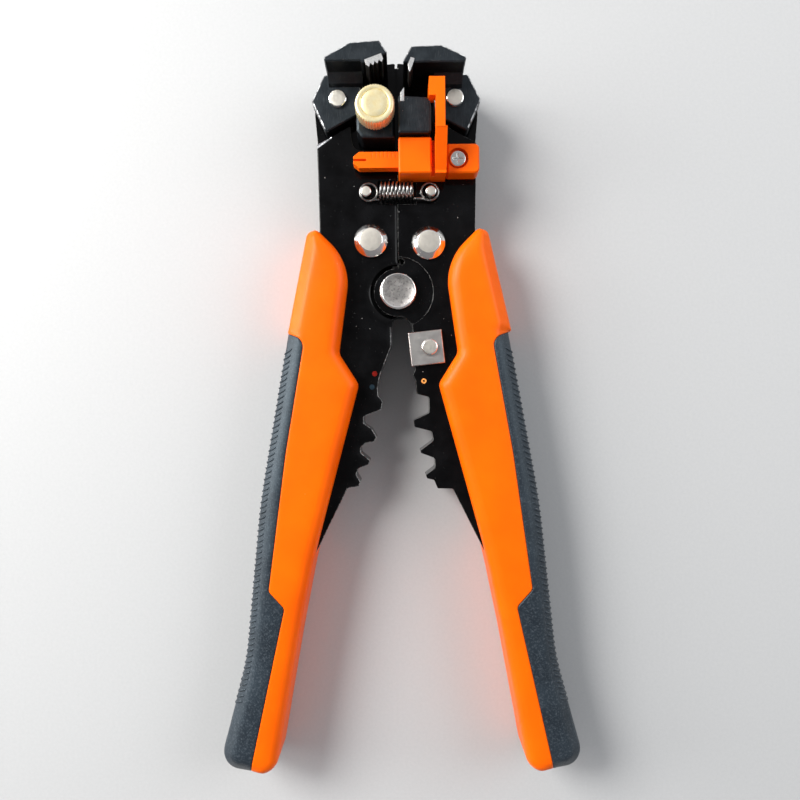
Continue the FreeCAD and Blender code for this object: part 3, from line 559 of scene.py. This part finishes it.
def join_rings(bm, lower, upper):
    """Faces between two rings of vertices, either of which may be a single point."""
    for i in range(max(len(lower), len(upper))):
        j = (i + 1) % max(len(lower), len(upper))
        if len(lower) == 1:
            bm.faces.new((lower[0], upper[j], upper[i]))
        elif len(upper) == 1:
            bm.faces.new((lower[i], lower[j], upper[0]))
        else:
            bm.faces.new((lower[i], lower[j], upper[j], upper[i]))


def lathe(node, profile, slot, sides, flat_finish=None, ripple=None):
    """A turned piece about a node's upright middle line, from (radius, z) points in millimetres.

    Level faces may have a finish of their own, and ripple(angle, radius) may change the radius,
    for a knurl.
    """
    centre = centre_of(node)
    bm = bmesh.new()
    rings = []
    for radius, z in profile:
        if radius == 0:
            rings.append([bm.verts.new((centre.x, centre.y, z * MM))])
            continue
        ring = []
        for i in range(sides):
            angle = 2 * math.pi * i / sides
            r = ripple(angle, radius) if ripple else radius
            ring.append(bm.verts.new((centre.x + r * MM * math.cos(angle),
                                      centre.y + r * MM * math.sin(angle), z * MM)))
        rings.append(ring)
    for lower, upper in zip(rings, rings[1:]):
        join_rings(bm, lower, upper)
    bmesh.ops.recalc_face_normals(bm, faces=bm.faces)
    for face in bm.faces:
        if flat_finish and face.normal.z > 0.999:
            face.material_index = 1
    mesh = to_mesh(bm, node + "_piece")
    mesh.set_sharp_from_angle(angle=math.radians(30))
    add_piece(node, mesh, slot, flat_finish)


def arc(centre_r, centre_z, radius, start, end, steps):
    """Points of a profile's rounded corner, from one angle to another in degrees."""
    points = []
    for i in range(steps + 1):
        angle = math.radians(start + (end - start) * i / steps)
        points.append((centre_r + radius * math.cos(angle), centre_z + radius * math.sin(angle)))
    return points


def tube_mesh(name, paths, radius, sides):
    """Round wire along each path of points, closed at both ends."""
    bm = bmesh.new()
    for path in paths:
        points = [Vector(p) for p in path]
        rings = []
        side = None
        for i, point in enumerate(points):
            ahead = points[min(i + 1, len(points) - 1)] - points[max(i - 1, 0)]
            ahead.normalize()
            if side is None:
                side = ahead.orthogonal().normalized()
            side = (side - ahead * side.dot(ahead)).normalized()
            other = ahead.cross(side)
            rings.append([bm.verts.new(point + side * (radius * math.cos(2 * math.pi * k / sides))
                                       + other * (radius * math.sin(2 * math.pi * k / sides)))
                          for k in range(sides)])
        for lower, upper in zip(rings, rings[1:]):
            join_rings(bm, lower, upper)
        bm.faces.new(list(reversed(rings[0])))
        bm.faces.new(rings[-1])
    return to_mesh(bm, name)


# ---- distances in plan -----------------------------------
NO_EDGE = 1e-7               # a segment shorter than this has no direction
NO_LENGTH = 1e-18            # keeps its squared length from dividing by nothing


def plan_gap(a, b, x, y):
    """The shortest distance in plan from each (x, y) to any of the segments from a to b."""
    d = b - a
    t = (x[..., None] - a[:, 0]) * d[:, 0] + (y[..., None] - a[:, 1]) * d[:, 1]
    t = np.clip(t / np.maximum((d ** 2).sum(1), NO_LENGTH), 0, 1)
    gap_x = x[..., None] - a[:, 0] - t * d[:, 0]
    gap_y = y[..., None] - a[:, 1] - t * d[:, 1]
    return np.hypot(gap_x, gap_y).min(-1)


def to_polyline(points, x, y):
    line = np.array(points)
    return plan_gap(line[:-1], line[1:], x, y)


def ends_of(segments):
    """The first and the second ends of a list of segments, in plan."""
    return [np.array([[*segment[end][:2]] for segment in segments]) for end in (0, 1)]


def to_segments(segments, x, y):
    return plan_gap(*ends_of(segments), x, y)


def inside(segments, x, y):
    """Which (x, y) lie inside closed loops of segments."""
    a, b = ends_of(segments)
    spans = (a[:, 1] > y[:, None]) != (b[:, 1] > y[:, None])
    with np.errstate(divide="ignore", invalid="ignore"):
        at = a[:, 0] + (y[:, None] - a[:, 1]) * (b[:, 0] - a[:, 0]) / (b[:, 1] - a[:, 1])
    return (spans & (x[:, None] < at)).sum(1) % 2 == 1


# ---- grips -----------------------------------------------
GRIP_MIDDLE = 10.0 * MM
SEAM_ROUND = 0.45 * MM
WALL_LAYERS = 6
LOWER_JOG = (-56.5 * MM, -48.5 * MM)  # the y over which the seam jogs
UPPER_JOG = (-7 * MM, 0.5 * MM)       # the same at the cover's top, from its highest y
JOG_STEP = 0.2 * MM


def slice_x(node, levels):
    """The lowest and highest x of a node's mesh at each y, or None where it has none."""
    mesh = frame["nodes"][node].data
    points = np.empty(len(mesh.vertices) * 3)
    mesh.vertices.foreach_get("co", points)
    points = points.reshape(-1, 3)
    edges = np.empty(len(mesh.edges) * 2, int)
    mesh.edges.foreach_get("vertices", edges)
    a, b = points[edges[0::2]], points[edges[1::2]]
    found = []
    for y in levels:
        crossing = (a[:, 1] - y) * (b[:, 1] - y) < 0
        p, q = a[crossing], b[crossing]
        if len(p) == 0:
            found.append(None)
            continue
        x = p[:, 0] + (q[:, 0] - p[:, 0]) * ((y - p[:, 1]) / (q[:, 1] - p[:, 1]))
        found.append((x.min(), x.max()))
    return found


def smooth_step(t):
    t = np.clip(t, 0, 1)
    return t * t * (3 - 2 * t)


# half the grip's thickness, in millimetres, at distances in from its edge
INNER_EDGE = ((0.0, 6.6), (0.12, 7.3), (0.35, 7.95), (0.75, 8.6), (1.3, 9.15), (2.0, 9.55),
              (3.0, 9.83), (4.5, 9.97), (7.0, 10.0))
OUTER_EDGE = ((0.0, 5.6), (0.12, 6.4), (0.35, 7.0), (0.7, 7.5), (1.3, 8.05), (2.0, 8.65),
              (2.7, 9.25), (3.1, 9.55), (3.6, 9.78), (4.6, 9.93), (7.0, 10.0))


def grip_height(distance, outward):
    """Half the grip's thickness at a distance from its edge; outward is 0 inside, 1 outside."""
    at = distance / MM
    inner = np.interp(at, *zip(*INNER_EDGE))
    outer = np.interp(at, *zip(*OUTER_EDGE))
    return (inner * (1 - outward) + outer * outward) * MM


def levels_along(low, high, step, dense, reach):
    """Heights from low to high, closer together near both ends."""
    middle = np.arange(low + reach, high - reach, step)
    share = np.linspace(0, 1, int(reach / dense))
    near_low = low + reach * share ** 1.6
    near_high = high - reach * (share[::-1]) ** 1.6
    return np.unique(np.concatenate([near_low, middle, near_high]))


class Grip:
    """One handle's outline in plan, read from its shell and cover."""

    def __init__(self, side):
        self.side = side
        self.sign = -1 if side == "left" else 1
        shell, cover = side + "_grip_shell", side + "_grip_cover"
        low = min(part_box(shell)[0].y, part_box(cover)[0].y)
        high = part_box(shell)[1].y
        edge = 0.01 * MM
        levels = levels_along(low + edge, high - edge, step=0.8 * MM, dense=0.12 * MM,
                              reach=5.5 * MM)
        cover_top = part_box(cover)[1].y
        upper_jog = np.arange(cover_top + UPPER_JOG[0], cover_top + UPPER_JOG[1], JOG_STEP)
        lower_jog = np.arange(*LOWER_JOG, JOG_STEP)
        self.levels = np.unique(np.concatenate([levels, upper_jog, lower_jog]))
        inner, outer, seam = [], [], []
        for in_shell, in_cover in zip(slice_x(shell, self.levels), slice_x(cover, self.levels)):
            found = [s for s in (in_shell, in_cover) if s]
            ends = (min(s[0] for s in found), max(s[1] for s in found))
            inner.append(ends[0] if self.sign > 0 else ends[1])
            outer.append(ends[1] if self.sign > 0 else ends[0])
            if in_cover is None:
                seam.append(outer[-1])
            elif in_shell is None:
                seam.append(inner[-1])
            else:
                seam.append(in_cover[0] if self.sign > 0 else in_cover[1])
        self.inner, self.outer, self.seam = map(np.array, (inner, outer, seam))
        loop = list(zip(self.inner, self.levels)) + list(zip(self.outer, self.levels))[::-1]
        self.outline = loop + loop[:1]
        self.has_cover = np.abs(self.seam - self.outer) > SLIVER
        self.seam_line = list(zip(self.seam[self.has_cover], self.levels[self.has_cover]))

    def surface(self, x, y):
        """Half the thickness at places in plan, the outer edge's form taking over mid-way."""
        distance = to_polyline(self.outline, x, y)
        inner = np.interp(y, self.levels, self.inner)
        outer = np.interp(y, self.levels, self.outer)
        outward = smooth_step((x - inner) / (outer - inner) * 1.6 - 0.3)
        return grip_height(distance, outward)

    def rows(self, start, end, start_steps, end_steps, which):
        """Grid of x and y: each row runs from start(y) to end(y), closer near both edges."""
        y = self.levels[which]
        a, b = start[which][:, None], end[which][:, None]

        def offsets(steps):
            reach = np.array(steps) * MM
            return np.minimum(reach, np.abs(b - a) * 0.5 * (reach / reach[-1]))

        way = np.sign(b - a)
        from_start = a + way * offsets(start_steps)
        from_end = (b - way * offsets(end_steps))[:, ::-1]
        x = np.concatenate([from_start, from_end], axis=1)
        return x, np.repeat(y[:, None], x.shape[1], axis=1)


# millimetres in from a grip's edge, and from its seam, at which its rows have points
EDGE_STEPS = (0.0, 0.06, 0.12, 0.22, 0.35, 0.55, 0.8, 1.1, 1.5, 2.0, 2.6, 3.0, 3.2, 3.6, 4.2,
              5.2, 7.0)
SEAM_STEPS = (0.0, 0.06, 0.14, 0.24, 0.36, 0.5, 0.8, 1.5)


def closed_shell(name, x, y, half):
    """A closed mesh, with front, back and side walls, from a grid and its half thickness."""
    count_y, count_x = x.shape
    total = count_y * count_x
    front = np.stack([x, y, GRIP_MIDDLE + half], -1).reshape(-1, 3)
    back = np.stack([x, y, GRIP_MIDDLE - half], -1).reshape(-1, 3)
    faces = []
    for i in range(count_y - 1):
        for j in range(count_x - 1):
            a, b = i * count_x + j, i * count_x + j + 1
            c, d = b + count_x, a + count_x
            faces.append((a, b, c, d))
            faces.append((total + d, total + c, total + b, total + a))
    rim = [(0, j) for j in range(count_x)]
    rim += [(i, count_x - 1) for i in range(1, count_y)]
    rim += [(count_y - 1, j) for j in range(count_x - 2, -1, -1)]
    rim += [(i, 0) for i in range(count_y - 2, 0, -1)]
    ids = [i * count_x + j for i, j in rim]
    layers = [front, back]
    rows = [ids]
    for k in range(1, WALL_LAYERS):
        share = k / WALL_LAYERS
        start = sum(len(layer) for layer in layers)
        layers.append(front[ids] * (1 - share) + back[ids] * share)
        rows.append(list(range(start, start + len(ids))))
    rows.append([total + i for i in ids])
    for upper, lower in zip(rows, rows[1:]):
        for k in range(len(ids)):
            m = (k + 1) % len(ids)
            faces.append((upper[m], upper[k], lower[k], lower[m]))
    grid = bpy.data.meshes.new(name)
    grid.from_pydata(np.concatenate(layers).tolist(), [], faces)
    bm = bmesh.new()
    bm.from_mesh(grid)
    bpy.data.meshes.remove(grid)
    bmesh.ops.remove_doubles(bm, verts=bm.verts, dist=SLIVER)
    mesh = to_mesh(bm, name)
    mesh.set_sharp_from_angle(angle=math.radians(38))
    return mesh


def round_off(distance):
    """How far a surface drops near a seam, where its edge is rounded."""
    t = np.clip(1 - distance / SEAM_ROUND, 0, 1)
    return SEAM_ROUND * 0.9 * (1 - np.sqrt(np.clip(1 - t ** 2, 0, 1)))


def moulding(grip, part, start, end, start_steps, which):
    """One part of a grip, between two lines in plan, rounded off along the seam."""
    x, y = grip.rows(start, end, start_steps, EDGE_STEPS, which)
    half = grip.surface(x, y) - round_off(to_polyline(grip.seam_line, x, y))
    return closed_shell(grip.side + part, x, y, half)


RIB_PITCH = 1.62 * MM
RIB_RADIUS = 0.34 * MM
RIB_SLANT = 1.4 * MM
RIBS_FOOT = 20 * MM          # up from the grip's end
RIBS_TOP = 2.5 * MM          # down from the cover's top
RIB_INSETS = (2.3, 1.8, 1.3, 0.9, 0.55, 0.28, 0.1)  # a rib's points, in mm in from the edge
RIB_WALL = 5.2 * MM          # half the height of its upright run


def rib_paths(grip):
    """The short slanted ribs that wrap round the cover's outer edge."""
    low = grip.levels[0] + RIBS_FOOT
    high = grip.seam_line[-1][1] - RIBS_TOP
    paths = []
    for i in range(int((high - low) / RIB_PITCH)):
        y = low + i * RIB_PITCH
        path = []
        for inset in RIB_INSETS:
            here_y = y + RIB_SLANT * inset / RIB_INSETS[0]
            here_x = np.interp(here_y, grip.levels, grip.outer) - grip.sign * inset * MM
            sunk = RIB_RADIUS * (1.3 if inset == RIB_INSETS[0] else 0.1)
            path.append((here_x - grip.sign * sunk * 0.5, here_y,
                         GRIP_MIDDLE + grip_height(inset * MM, 1.0) - sunk * 0.8))
        side_x = np.interp(y, grip.levels, grip.outer) - grip.sign * RIB_RADIUS * 0.45
        wall = [(side_x, y, GRIP_MIDDLE + z) for z in np.linspace(RIB_WALL, -RIB_WALL, 7)]
        mirrored = [(px, py, 2 * GRIP_MIDDLE - pz) for px, py, pz in reversed(path)]
        paths.append(path + wall + mirrored)
    return paths


def make_grip(side):
    """The orange shell and the dark cover with its ribs."""
    grip = Grip(side)
    every = np.ones(len(grip.levels), bool)
    shell = moulding(grip, "_shell", grip.inner, grip.seam, EDGE_STEPS, every)
    add_piece(side + "_grip_shell", shell, "orange_plastic")
    cover = moulding(grip, "_cover", grip.seam, grip.outer, SEAM_STEPS, grip.has_cover)
    bm = bmesh.new()
    bm.from_mesh(cover)
    bm.from_mesh(tube_mesh(side + "_ribs", rib_paths(grip), RIB_RADIUS, 6))
    bm.to_mesh(cover)
    bm.free()
    add_piece(side + "_grip_cover", cover, "black_rubber")


# ---- pins, rivets, screws and knob, in millimetres -------
def rivet_profile(head_r, flat_r, head_h, shank_r, front, back):
    """Back head, shank, and front head with a flat centre, sloping rim and short wall."""
    tail_h = head_h * 0.8
    wall = front + head_h * 0.30
    corner = (head_r - flat_r) * 0.28
    top = front + head_h
    profile = [(0, back - tail_h), (flat_r, back - tail_h), (head_r * 0.9, back - tail_h * 0.7),
               (head_r, back - tail_h * 0.35), (head_r, back), (shank_r, back),
               (shank_r, front), (head_r - 0.08, front), (head_r, front + 0.08), (head_r, wall)]
    profile += arc(head_r - corner, wall, corner, 10, 50, 4)
    return profile + [(flat_r + 0.22, top - 0.10), (flat_r + 0.10, top - 0.02), (flat_r, top),
                      (flat_r * 0.5, top), (0, top)]


def post_profile(top, back):
    """A spring post with a groove for the spring's loop under its rounded head."""
    groove = top - 1.15
    profile = [(0, back - 0.8), (1.9, back - 0.8), (1.9, back), (1.1, back), (1.1, groove - 0.2),
               (1.2, groove), (1.42, groove + 0.12), (1.5, groove + 0.2), (1.5, top - 0.3)]
    return profile + arc(1.2, top - 0.3, 0.3, 0, 90, 5) + [(0, top)]


def pivot_profile(low, top, plate_back):
    """The main rivet: a domed back, and a thick head with a raised rim."""
    seat = top - 3.0
    profile = [(0, low), (3.6, low), (4.6, low + 0.5), (5.2, low + 1.2), (5.2, plate_back),
               (2.7, plate_back), (2.7, seat), (5.1, seat), (5.2, seat + 0.1), (5.2, top - 0.5)]
    profile += arc(4.75, top - 0.5, 0.45, 0, 95, 6)
    return profile + [(4.55, top - 0.12), (4.4, top - 0.2), (2.2, top - 0.2), (0, top - 0.2)]


def screw_profile(low, top, seat):
    """The cutter's screw, with a low rounded head."""
    profile = [(0, low), (1.4, low), (1.4, seat), (2.2, seat), (2.28, seat + 0.08)]
    return profile + arc(1.85, top - 0.45, 0.43, 0, 80, 6) + [(1.7, top - 0.02), (0.9, top),
                                                              (0, top)]


def make_fasteners():
    plate_front = heights("left_front_plate")[1]
    plate_back = heights("left_back_plate")[0]
    jaw_front = heights("right_jaw_pin")[1] - 0.9
    for side in ("left", "right"):
        lathe(side + "_frame_rivet", rivet_profile(4.8, 3.15, 2.6, 1.8, plate_front, plate_back),
              "nickel", 96, "nickel_flat")
        lathe(side + "_jaw_pin", rivet_profile(2.55, 2.2, 0.9, 1.6, jaw_front, plate_back),
              "nickel", 64, "nickel_flat")
        post = side + "_spring_post"
        lathe(post, post_profile(heights(post)[1], plate_back), "nickel", 48, "nickel_flat")
    lathe("main_pivot_rivet", pivot_profile(*heights("main_pivot_rivet"), plate_back), "nickel",
          112, "scratched_steel")
    lathe("cutter_screw", screw_profile(*heights("cutter_screw"), heights("cutter_plate")[1]),
          "nickel", 64, "nickel_flat")


KNURLS = 44
KNURL_DEEP = 0.17
KNURLED_FROM = 5.0           # the radius outside which the knob is knurled


def knurl(angle, radius):
    """Rows of small teeth round the rim."""
    if radius < KNURLED_FROM:
        return radius
    return radius - KNURL_DEEP * (1 - abs(math.sin(angle * KNURLS / 2))) ** 1.5


def make_knob():
    """Bored below for its stud, with a turned groove round the face of its closed cap."""
    low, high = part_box("adjuster_knob")
    foot, top = heights("adjuster_knob")
    r = (high.x - low.x) / 2 / MM
    profile = [(1.56, top - 1.3), (1.56, foot), (r - 0.6, foot), (r - 0.35, foot + 0.08),
               (r - 0.02, foot + 0.45), (r, foot + 0.6), (r, top - 0.75), (r - 0.05, top - 0.6)]
    profile += arc(r - 0.62, top - 0.55, 0.55, 15, 90, 6)
    profile += [(4.05, top), (3.95, top - 0.04), (3.84, top - 0.22), (3.66, top - 0.22),
                (3.55, top - 0.04), (3.45, top), (2.0, top - 0.04), (0, top - 0.06)]
    lathe("adjuster_knob", profile, "brass", KNURLS * 6, ripple=knurl)


# ---- spring ----------------------------------------------
COILS = 9
COIL_STEPS = 28
WIRE_RADIUS = 0.31 * MM
HALF_COIL = 4.85 * MM
LOOP_RADIUS = 2.45 * MM
LOOP_INSET = 2.85 * MM       # from the end of the spring's box to a loop's centre
LOOP_DROP = 0.15 * MM        # how far the loops lie below the coil's middle line
BEND = 1.2 * MM


def bezier(start, start_way, end, end_way, count):
    """Points along a smooth bend from one place and direction to another."""
    p0, p3 = np.array(start), np.array(end)
    p1, p2 = p0 + np.array(start_way), p3 - np.array(end_way)
    t = np.linspace(0, 1, count + 2)[1:-1, None]
    curve = (1 - t) ** 3 * p0 + 3 * (1 - t) ** 2 * t * p1 + 3 * (1 - t) * t ** 2 * p2 + t ** 3 * p3
    return [tuple(point) for point in curve]


def make_spring():
    """An open coil whose ends turn down into loops round the two posts."""
    low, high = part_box("tension_spring")
    axis_z = (low.z + high.z) / 2
    coil_r = (high.z - low.z) / 2 - WIRE_RADIUS
    axis_y = high.y - coil_r - WIRE_RADIUS
    loop_y = low.y + LOOP_INSET
    left_x, right_x = low.x + LOOP_INSET, high.x - LOOP_INSET

    def loop(centre_x, first, last):
        return [(centre_x + LOOP_RADIUS * math.cos(a), loop_y + LOOP_RADIUS * math.sin(a),
                 axis_z - LOOP_DROP) for a in np.radians(np.linspace(first, last, 44))]

    total = COILS * COIL_STEPS
    coil = []
    for i in range(total + 1):
        angle = 2 * math.pi * i / COIL_STEPS
        coil.append((HALF_COIL * (2 * i / total - 1),
                     axis_y - coil_r * math.cos(angle), axis_z + coil_r * math.sin(angle)))
    left, right = loop(left_x, -80, 290), loop(right_x, -110, 260)
    path = left + bezier(left[-1], (BEND, BEND * 0.35, 0), coil[0], (0, 0, BEND), 8)
    path += coil + bezier(coil[-1], (0, 0, BEND), right[0], (BEND, -BEND * 0.35, 0), 8) + right
    mesh = tube_mesh("spring", [path], WIRE_RADIUS, 12)
    piece = add_piece("tension_spring", mesh, "spring_steel", rides=False)
    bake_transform(piece)


# ---- the left front plate --------------------------------
ROLL = 1.5 * MM              # width of its rolled inner edge
ROLL_DEEP = 0.42 * MM
ROLL_FOOT = 58 * MM          # how far below the pivot the rolled edge starts, inside the grip
ROLL_TOP = 1.5 * MM          # how far below the spring it ends
ROLL_LEFT = -14.5 * MM       # edges further left than this x aren't rolled
RIVET_HOLE = 3 * MM
CHAMFER_WIDE, CHAMFER_DEEP = 0.85 * MM, 0.55 * MM
CHAMFER_ENDS = ((-0.2 * MM, 41.9 * MM), (3.6 * MM, 44.6 * MM))  # from outer edge and pivot
BROKEN = 0.12 * MM           # its other edges
NESTS_TOP = 12 * MM          # the nests, whose edges are worn, begin this far below the pivot
SHOULDER_HIGHLIGHT, WORN_EDGE = CHAMFER_WIDE * 0.6, ROLL * 0.08  # how far in the shoulder's painted highlight and the nests' edge wear reach
CELL = 0.07 * MM             # no two added points share a cell of this size
LEVEL = 0.99                 # normal z of a level face
SAME_HEIGHT = 0.01 * MM
TRIANGLES = 0                # delaunay_2d_cdt's output: triangles over the whole hull


def rolled_drop(distance, width, deep):
    """How far a rolled edge lies below its face at a distance in from the edge."""
    t = np.clip(1 - distance / width, 0, 1)
    return deep * (0.6 * t + 0.4 * t ** 3)


def beside(segments, distances, step):
    """Places on both sides of segments, at set distances from them, with each one's distance."""
    for a, b in segments:
        along = (b - a).to_2d()
        if along.length < NO_EDGE:
            continue
        across = Vector((-along.y, along.x)).normalized()
        count = max(1, int(along.length / step))
        for k in range(count):
            base = a.to_2d() + along * ((k + 0.5) / count)
            for distance in distances:
                for way in (1, -1):
                    yield base + across * (distance * way), distance


class PlateEdges:
    """The segments of the front face's rim, which are rolled or broken, and the chamfer."""

    def __init__(self, rim):
        pivot, rivet = centre_of("main_pivot_rivet"), centre_of("left_frame_rivet")
        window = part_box("tension_spring")[0].y - ROLL_TOP
        self.rolled, self.broken = [], []
        for edge in rim:
            a, b = (v.co.copy() for v in edge.verts)
            middle = (a + b) / 2
            hole = (middle - rivet).to_2d().length < RIVET_HOLE
            if pivot.y - ROLL_FOOT < middle.y < window and middle.x > ROLL_LEFT and not hole:
                self.rolled.append((a, b))
            else:
                self.broken.append((a, b))
        self.all = self.rolled + self.broken
        outer = min(v.co.x for e in rim for v in e.verts if v.co.y > pivot.y + 40 * MM)
        self.chamfer = [tuple(Vector((outer + x, pivot.y + y)) for x, y in CHAMFER_ENDS)]
        self.nests = pivot.y - NESTS_TOP

    def points(self):
        """Places inside the plate that carry the edges' forms, in plan."""
        places = list(beside(self.rolled, [ROLL * s for s in (0.1, 0.25, 0.45, 0.7, 1.0, 1.2)],
                             0.3 * MM))
        places += beside(self.broken, (BROKEN, BROKEN * 3), 0.6 * MM)
        places += beside(self.chamfer, [CHAMFER_WIDE * s for s in (0.3, 0.65, 1.0)], 0.4 * MM)
        x, y, wanted = np.array([(place.x, place.y, distance) for place, distance in places]).T
        kept = inside(self.all, x, y) & (to_segments(self.all, x, y) > wanted * 0.9)
        by_cell = {}
        for px, py in zip(x[kept], y[kept]):
            by_cell.setdefault((round(px / CELL), round(py / CELL)), Vector((px, py)))
        return list(by_cell.values())

    def drop(self, x, y):
        """How far the surface lies below the plate's face."""
        rolled = rolled_drop(to_segments(self.rolled, x, y), ROLL, ROLL_DEEP)
        broken = rolled_drop(to_segments(self.broken, x, y), BROKEN, BROKEN)
        slope = np.clip(1 - to_segments(self.chamfer, x, y) / CHAMFER_WIDE, 0, 1)
        return np.maximum(np.maximum(rolled, broken), CHAMFER_DEEP * slope)


def make_left_front_plate():
    """The plate with its inner edge rolled over, one bevelled shoulder with a painted highlight,
    and broken edges.
    """
    node = "left_front_plate"
    bm = bmesh.new()
    bm.from_mesh(clean_copy(node))
    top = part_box(node)[1].z

    def on_top(place):
        return abs(place.z - top) < SAME_HEIGHT

    caps = [f for f in bm.faces if f.normal.z > LEVEL and on_top(f.calc_center_median())]
    rim = [e for e in bm.edges if sum(f.normal.z > LEVEL for f in e.link_faces) == 1
           and all(on_top(v.co) for v in e.verts)]
    corners = list(dict.fromkeys(v for e in rim for v in e.verts))
    edges = PlateEdges(rim)
    places = [v.co for v in corners] + edges.points()
    links = [tuple(corners.index(v) for v in e.verts) for e in rim]
    flat = [Vector((place.x / MM, place.y / MM)) for place in places]
    spots, _, triangles, sources = geometry.delaunay_2d_cdt(flat, links, [], TRIANGLES, 1e-5)[:4]
    x, y = np.array([(v.x, v.y) for v in spots]).T * MM
    corner_ids = np.array(triangles)
    solid = inside(edges.all, x[corner_ids].mean(1), y[corner_ids].mean(1))
    drop = edges.drop(x, y)
    chamfer_gap, edge_gap = to_segments(edges.chamfer, x, y), to_segments(edges.all, x, y)
    bmesh.ops.delete(bm, geom=caps, context="FACES_ONLY")
    verts = []
    for i, origin in enumerate(sources):
        own = [corners[k] for k in origin if k < len(corners)]
        vert = own[0] if own else bm.verts.new((x[i], y[i], top))
        vert.co.z = top - drop[i]
        verts.append(vert)
    for ids in corner_ids[solid]:
        face = bm.faces.new([verts[k] for k in ids])
        # the shoulder chamfer's faces get bright metal: a painted highlight
        if chamfer_gap[ids].mean() < SHOULDER_HIGHLIGHT:
            face.material_index = 1
        elif edge_gap[ids].mean() < WORN_EDGE and y[ids].mean() < edges.nests:
            face.material_index = 2
    mesh = to_mesh(bm, node + "_piece")
    mesh.set_sharp_from_angle(angle=math.radians(40))
    piece = add_piece(node, mesh, "steel_black", "shoulder_painted_highlight")
    mesh.materials.append(FINISH["steel_black_edge"])
    weigh_normals(piece, keep_sharp=True)


# ---- steelwork and floor ---------------------------------
def left_and_right(*parts):
    """The two nodes of each part."""
    return [side + "_" + part for part in parts for side in ("left", "right")]


def make_steelwork():
    for node in ("right_front_plate", "left_back_plate", "right_back_plate"):
        bevelled(node, "steel_black", 0.14, 2, "steel_black_edge")
    make_left_front_plate()
    for node in left_and_right("head_spacer", "handle_spacer"):
        finish_node(node, "steel_black")
    # upright walls of the castings, pads and blades get painted shade; the outer jaws' chamfers
    # facing the light get a painted highlight
    for node in left_and_right("outer_jaw"):
        paint_shade_on_walls(bevelled(node, "casting", 0.10, 2, "casting_wear_and_painted_highlight"), "casting_painted_shade", True)
    for node in left_and_right("inner_block"):
        paint_shade_on_walls(bevelled(node, "casting", 0.16, 3), "casting_painted_shade")
    for node in ("upper_gripping_pad", "lower_gripping_pad", "upper_stripping_blade",
                 "lower_stripping_blade"):
        paint_shade_on_walls(bevelled(node, "bright_steel", 0.05, 2), "steel_painted_shade")
    bevelled("cutter_plate", "satin_steel", 0.12, 3)
    for node in left_and_right("link"):
        finish_node(node, "steel_black")
    for node in left_and_right("link_top_pin", "link_foot_pin") + ["adjuster_stud"]:
        finish_node(node, "link_steel")
    bevelled("stop_bracket", "orange_plastic", 0.3, 4)
    bevelled("stop_slider", "orange_plastic", 0.3, 4)
    bevelled("bracket_screw", "nickel", 0.08, 2)
    for colour in ("red", "blue", "orange"):
        finish_node(colour + "_crimp_mark", colour + "_paint")


FLOOR_HALF = 3.0
FLOOR_Z = -0.03 * MM         # just under the grips


def make_floor():
    """A plain pale sheet much larger than the view."""
    ways = ((-1, -1), (1, -1), (1, 1), (-1, 1))
    mesh = bpy.data.meshes.new("floor")
    mesh.from_pydata([(x * FLOOR_HALF, y * FLOOR_HALF, FLOOR_Z) for x, y in ways], [],
                     [(0, 1, 2, 3)])
    mesh.materials.append(floor_finish())
    floor = bpy.data.objects.new("floor", mesh)
    bpy.context.scene.collection.objects.link(floor)


add_camera()
add_lights()
add_room()
make_floor()
make_steelwork()
make_fasteners()
make_knob()
make_spring()
make_grip("left")
make_grip("right")
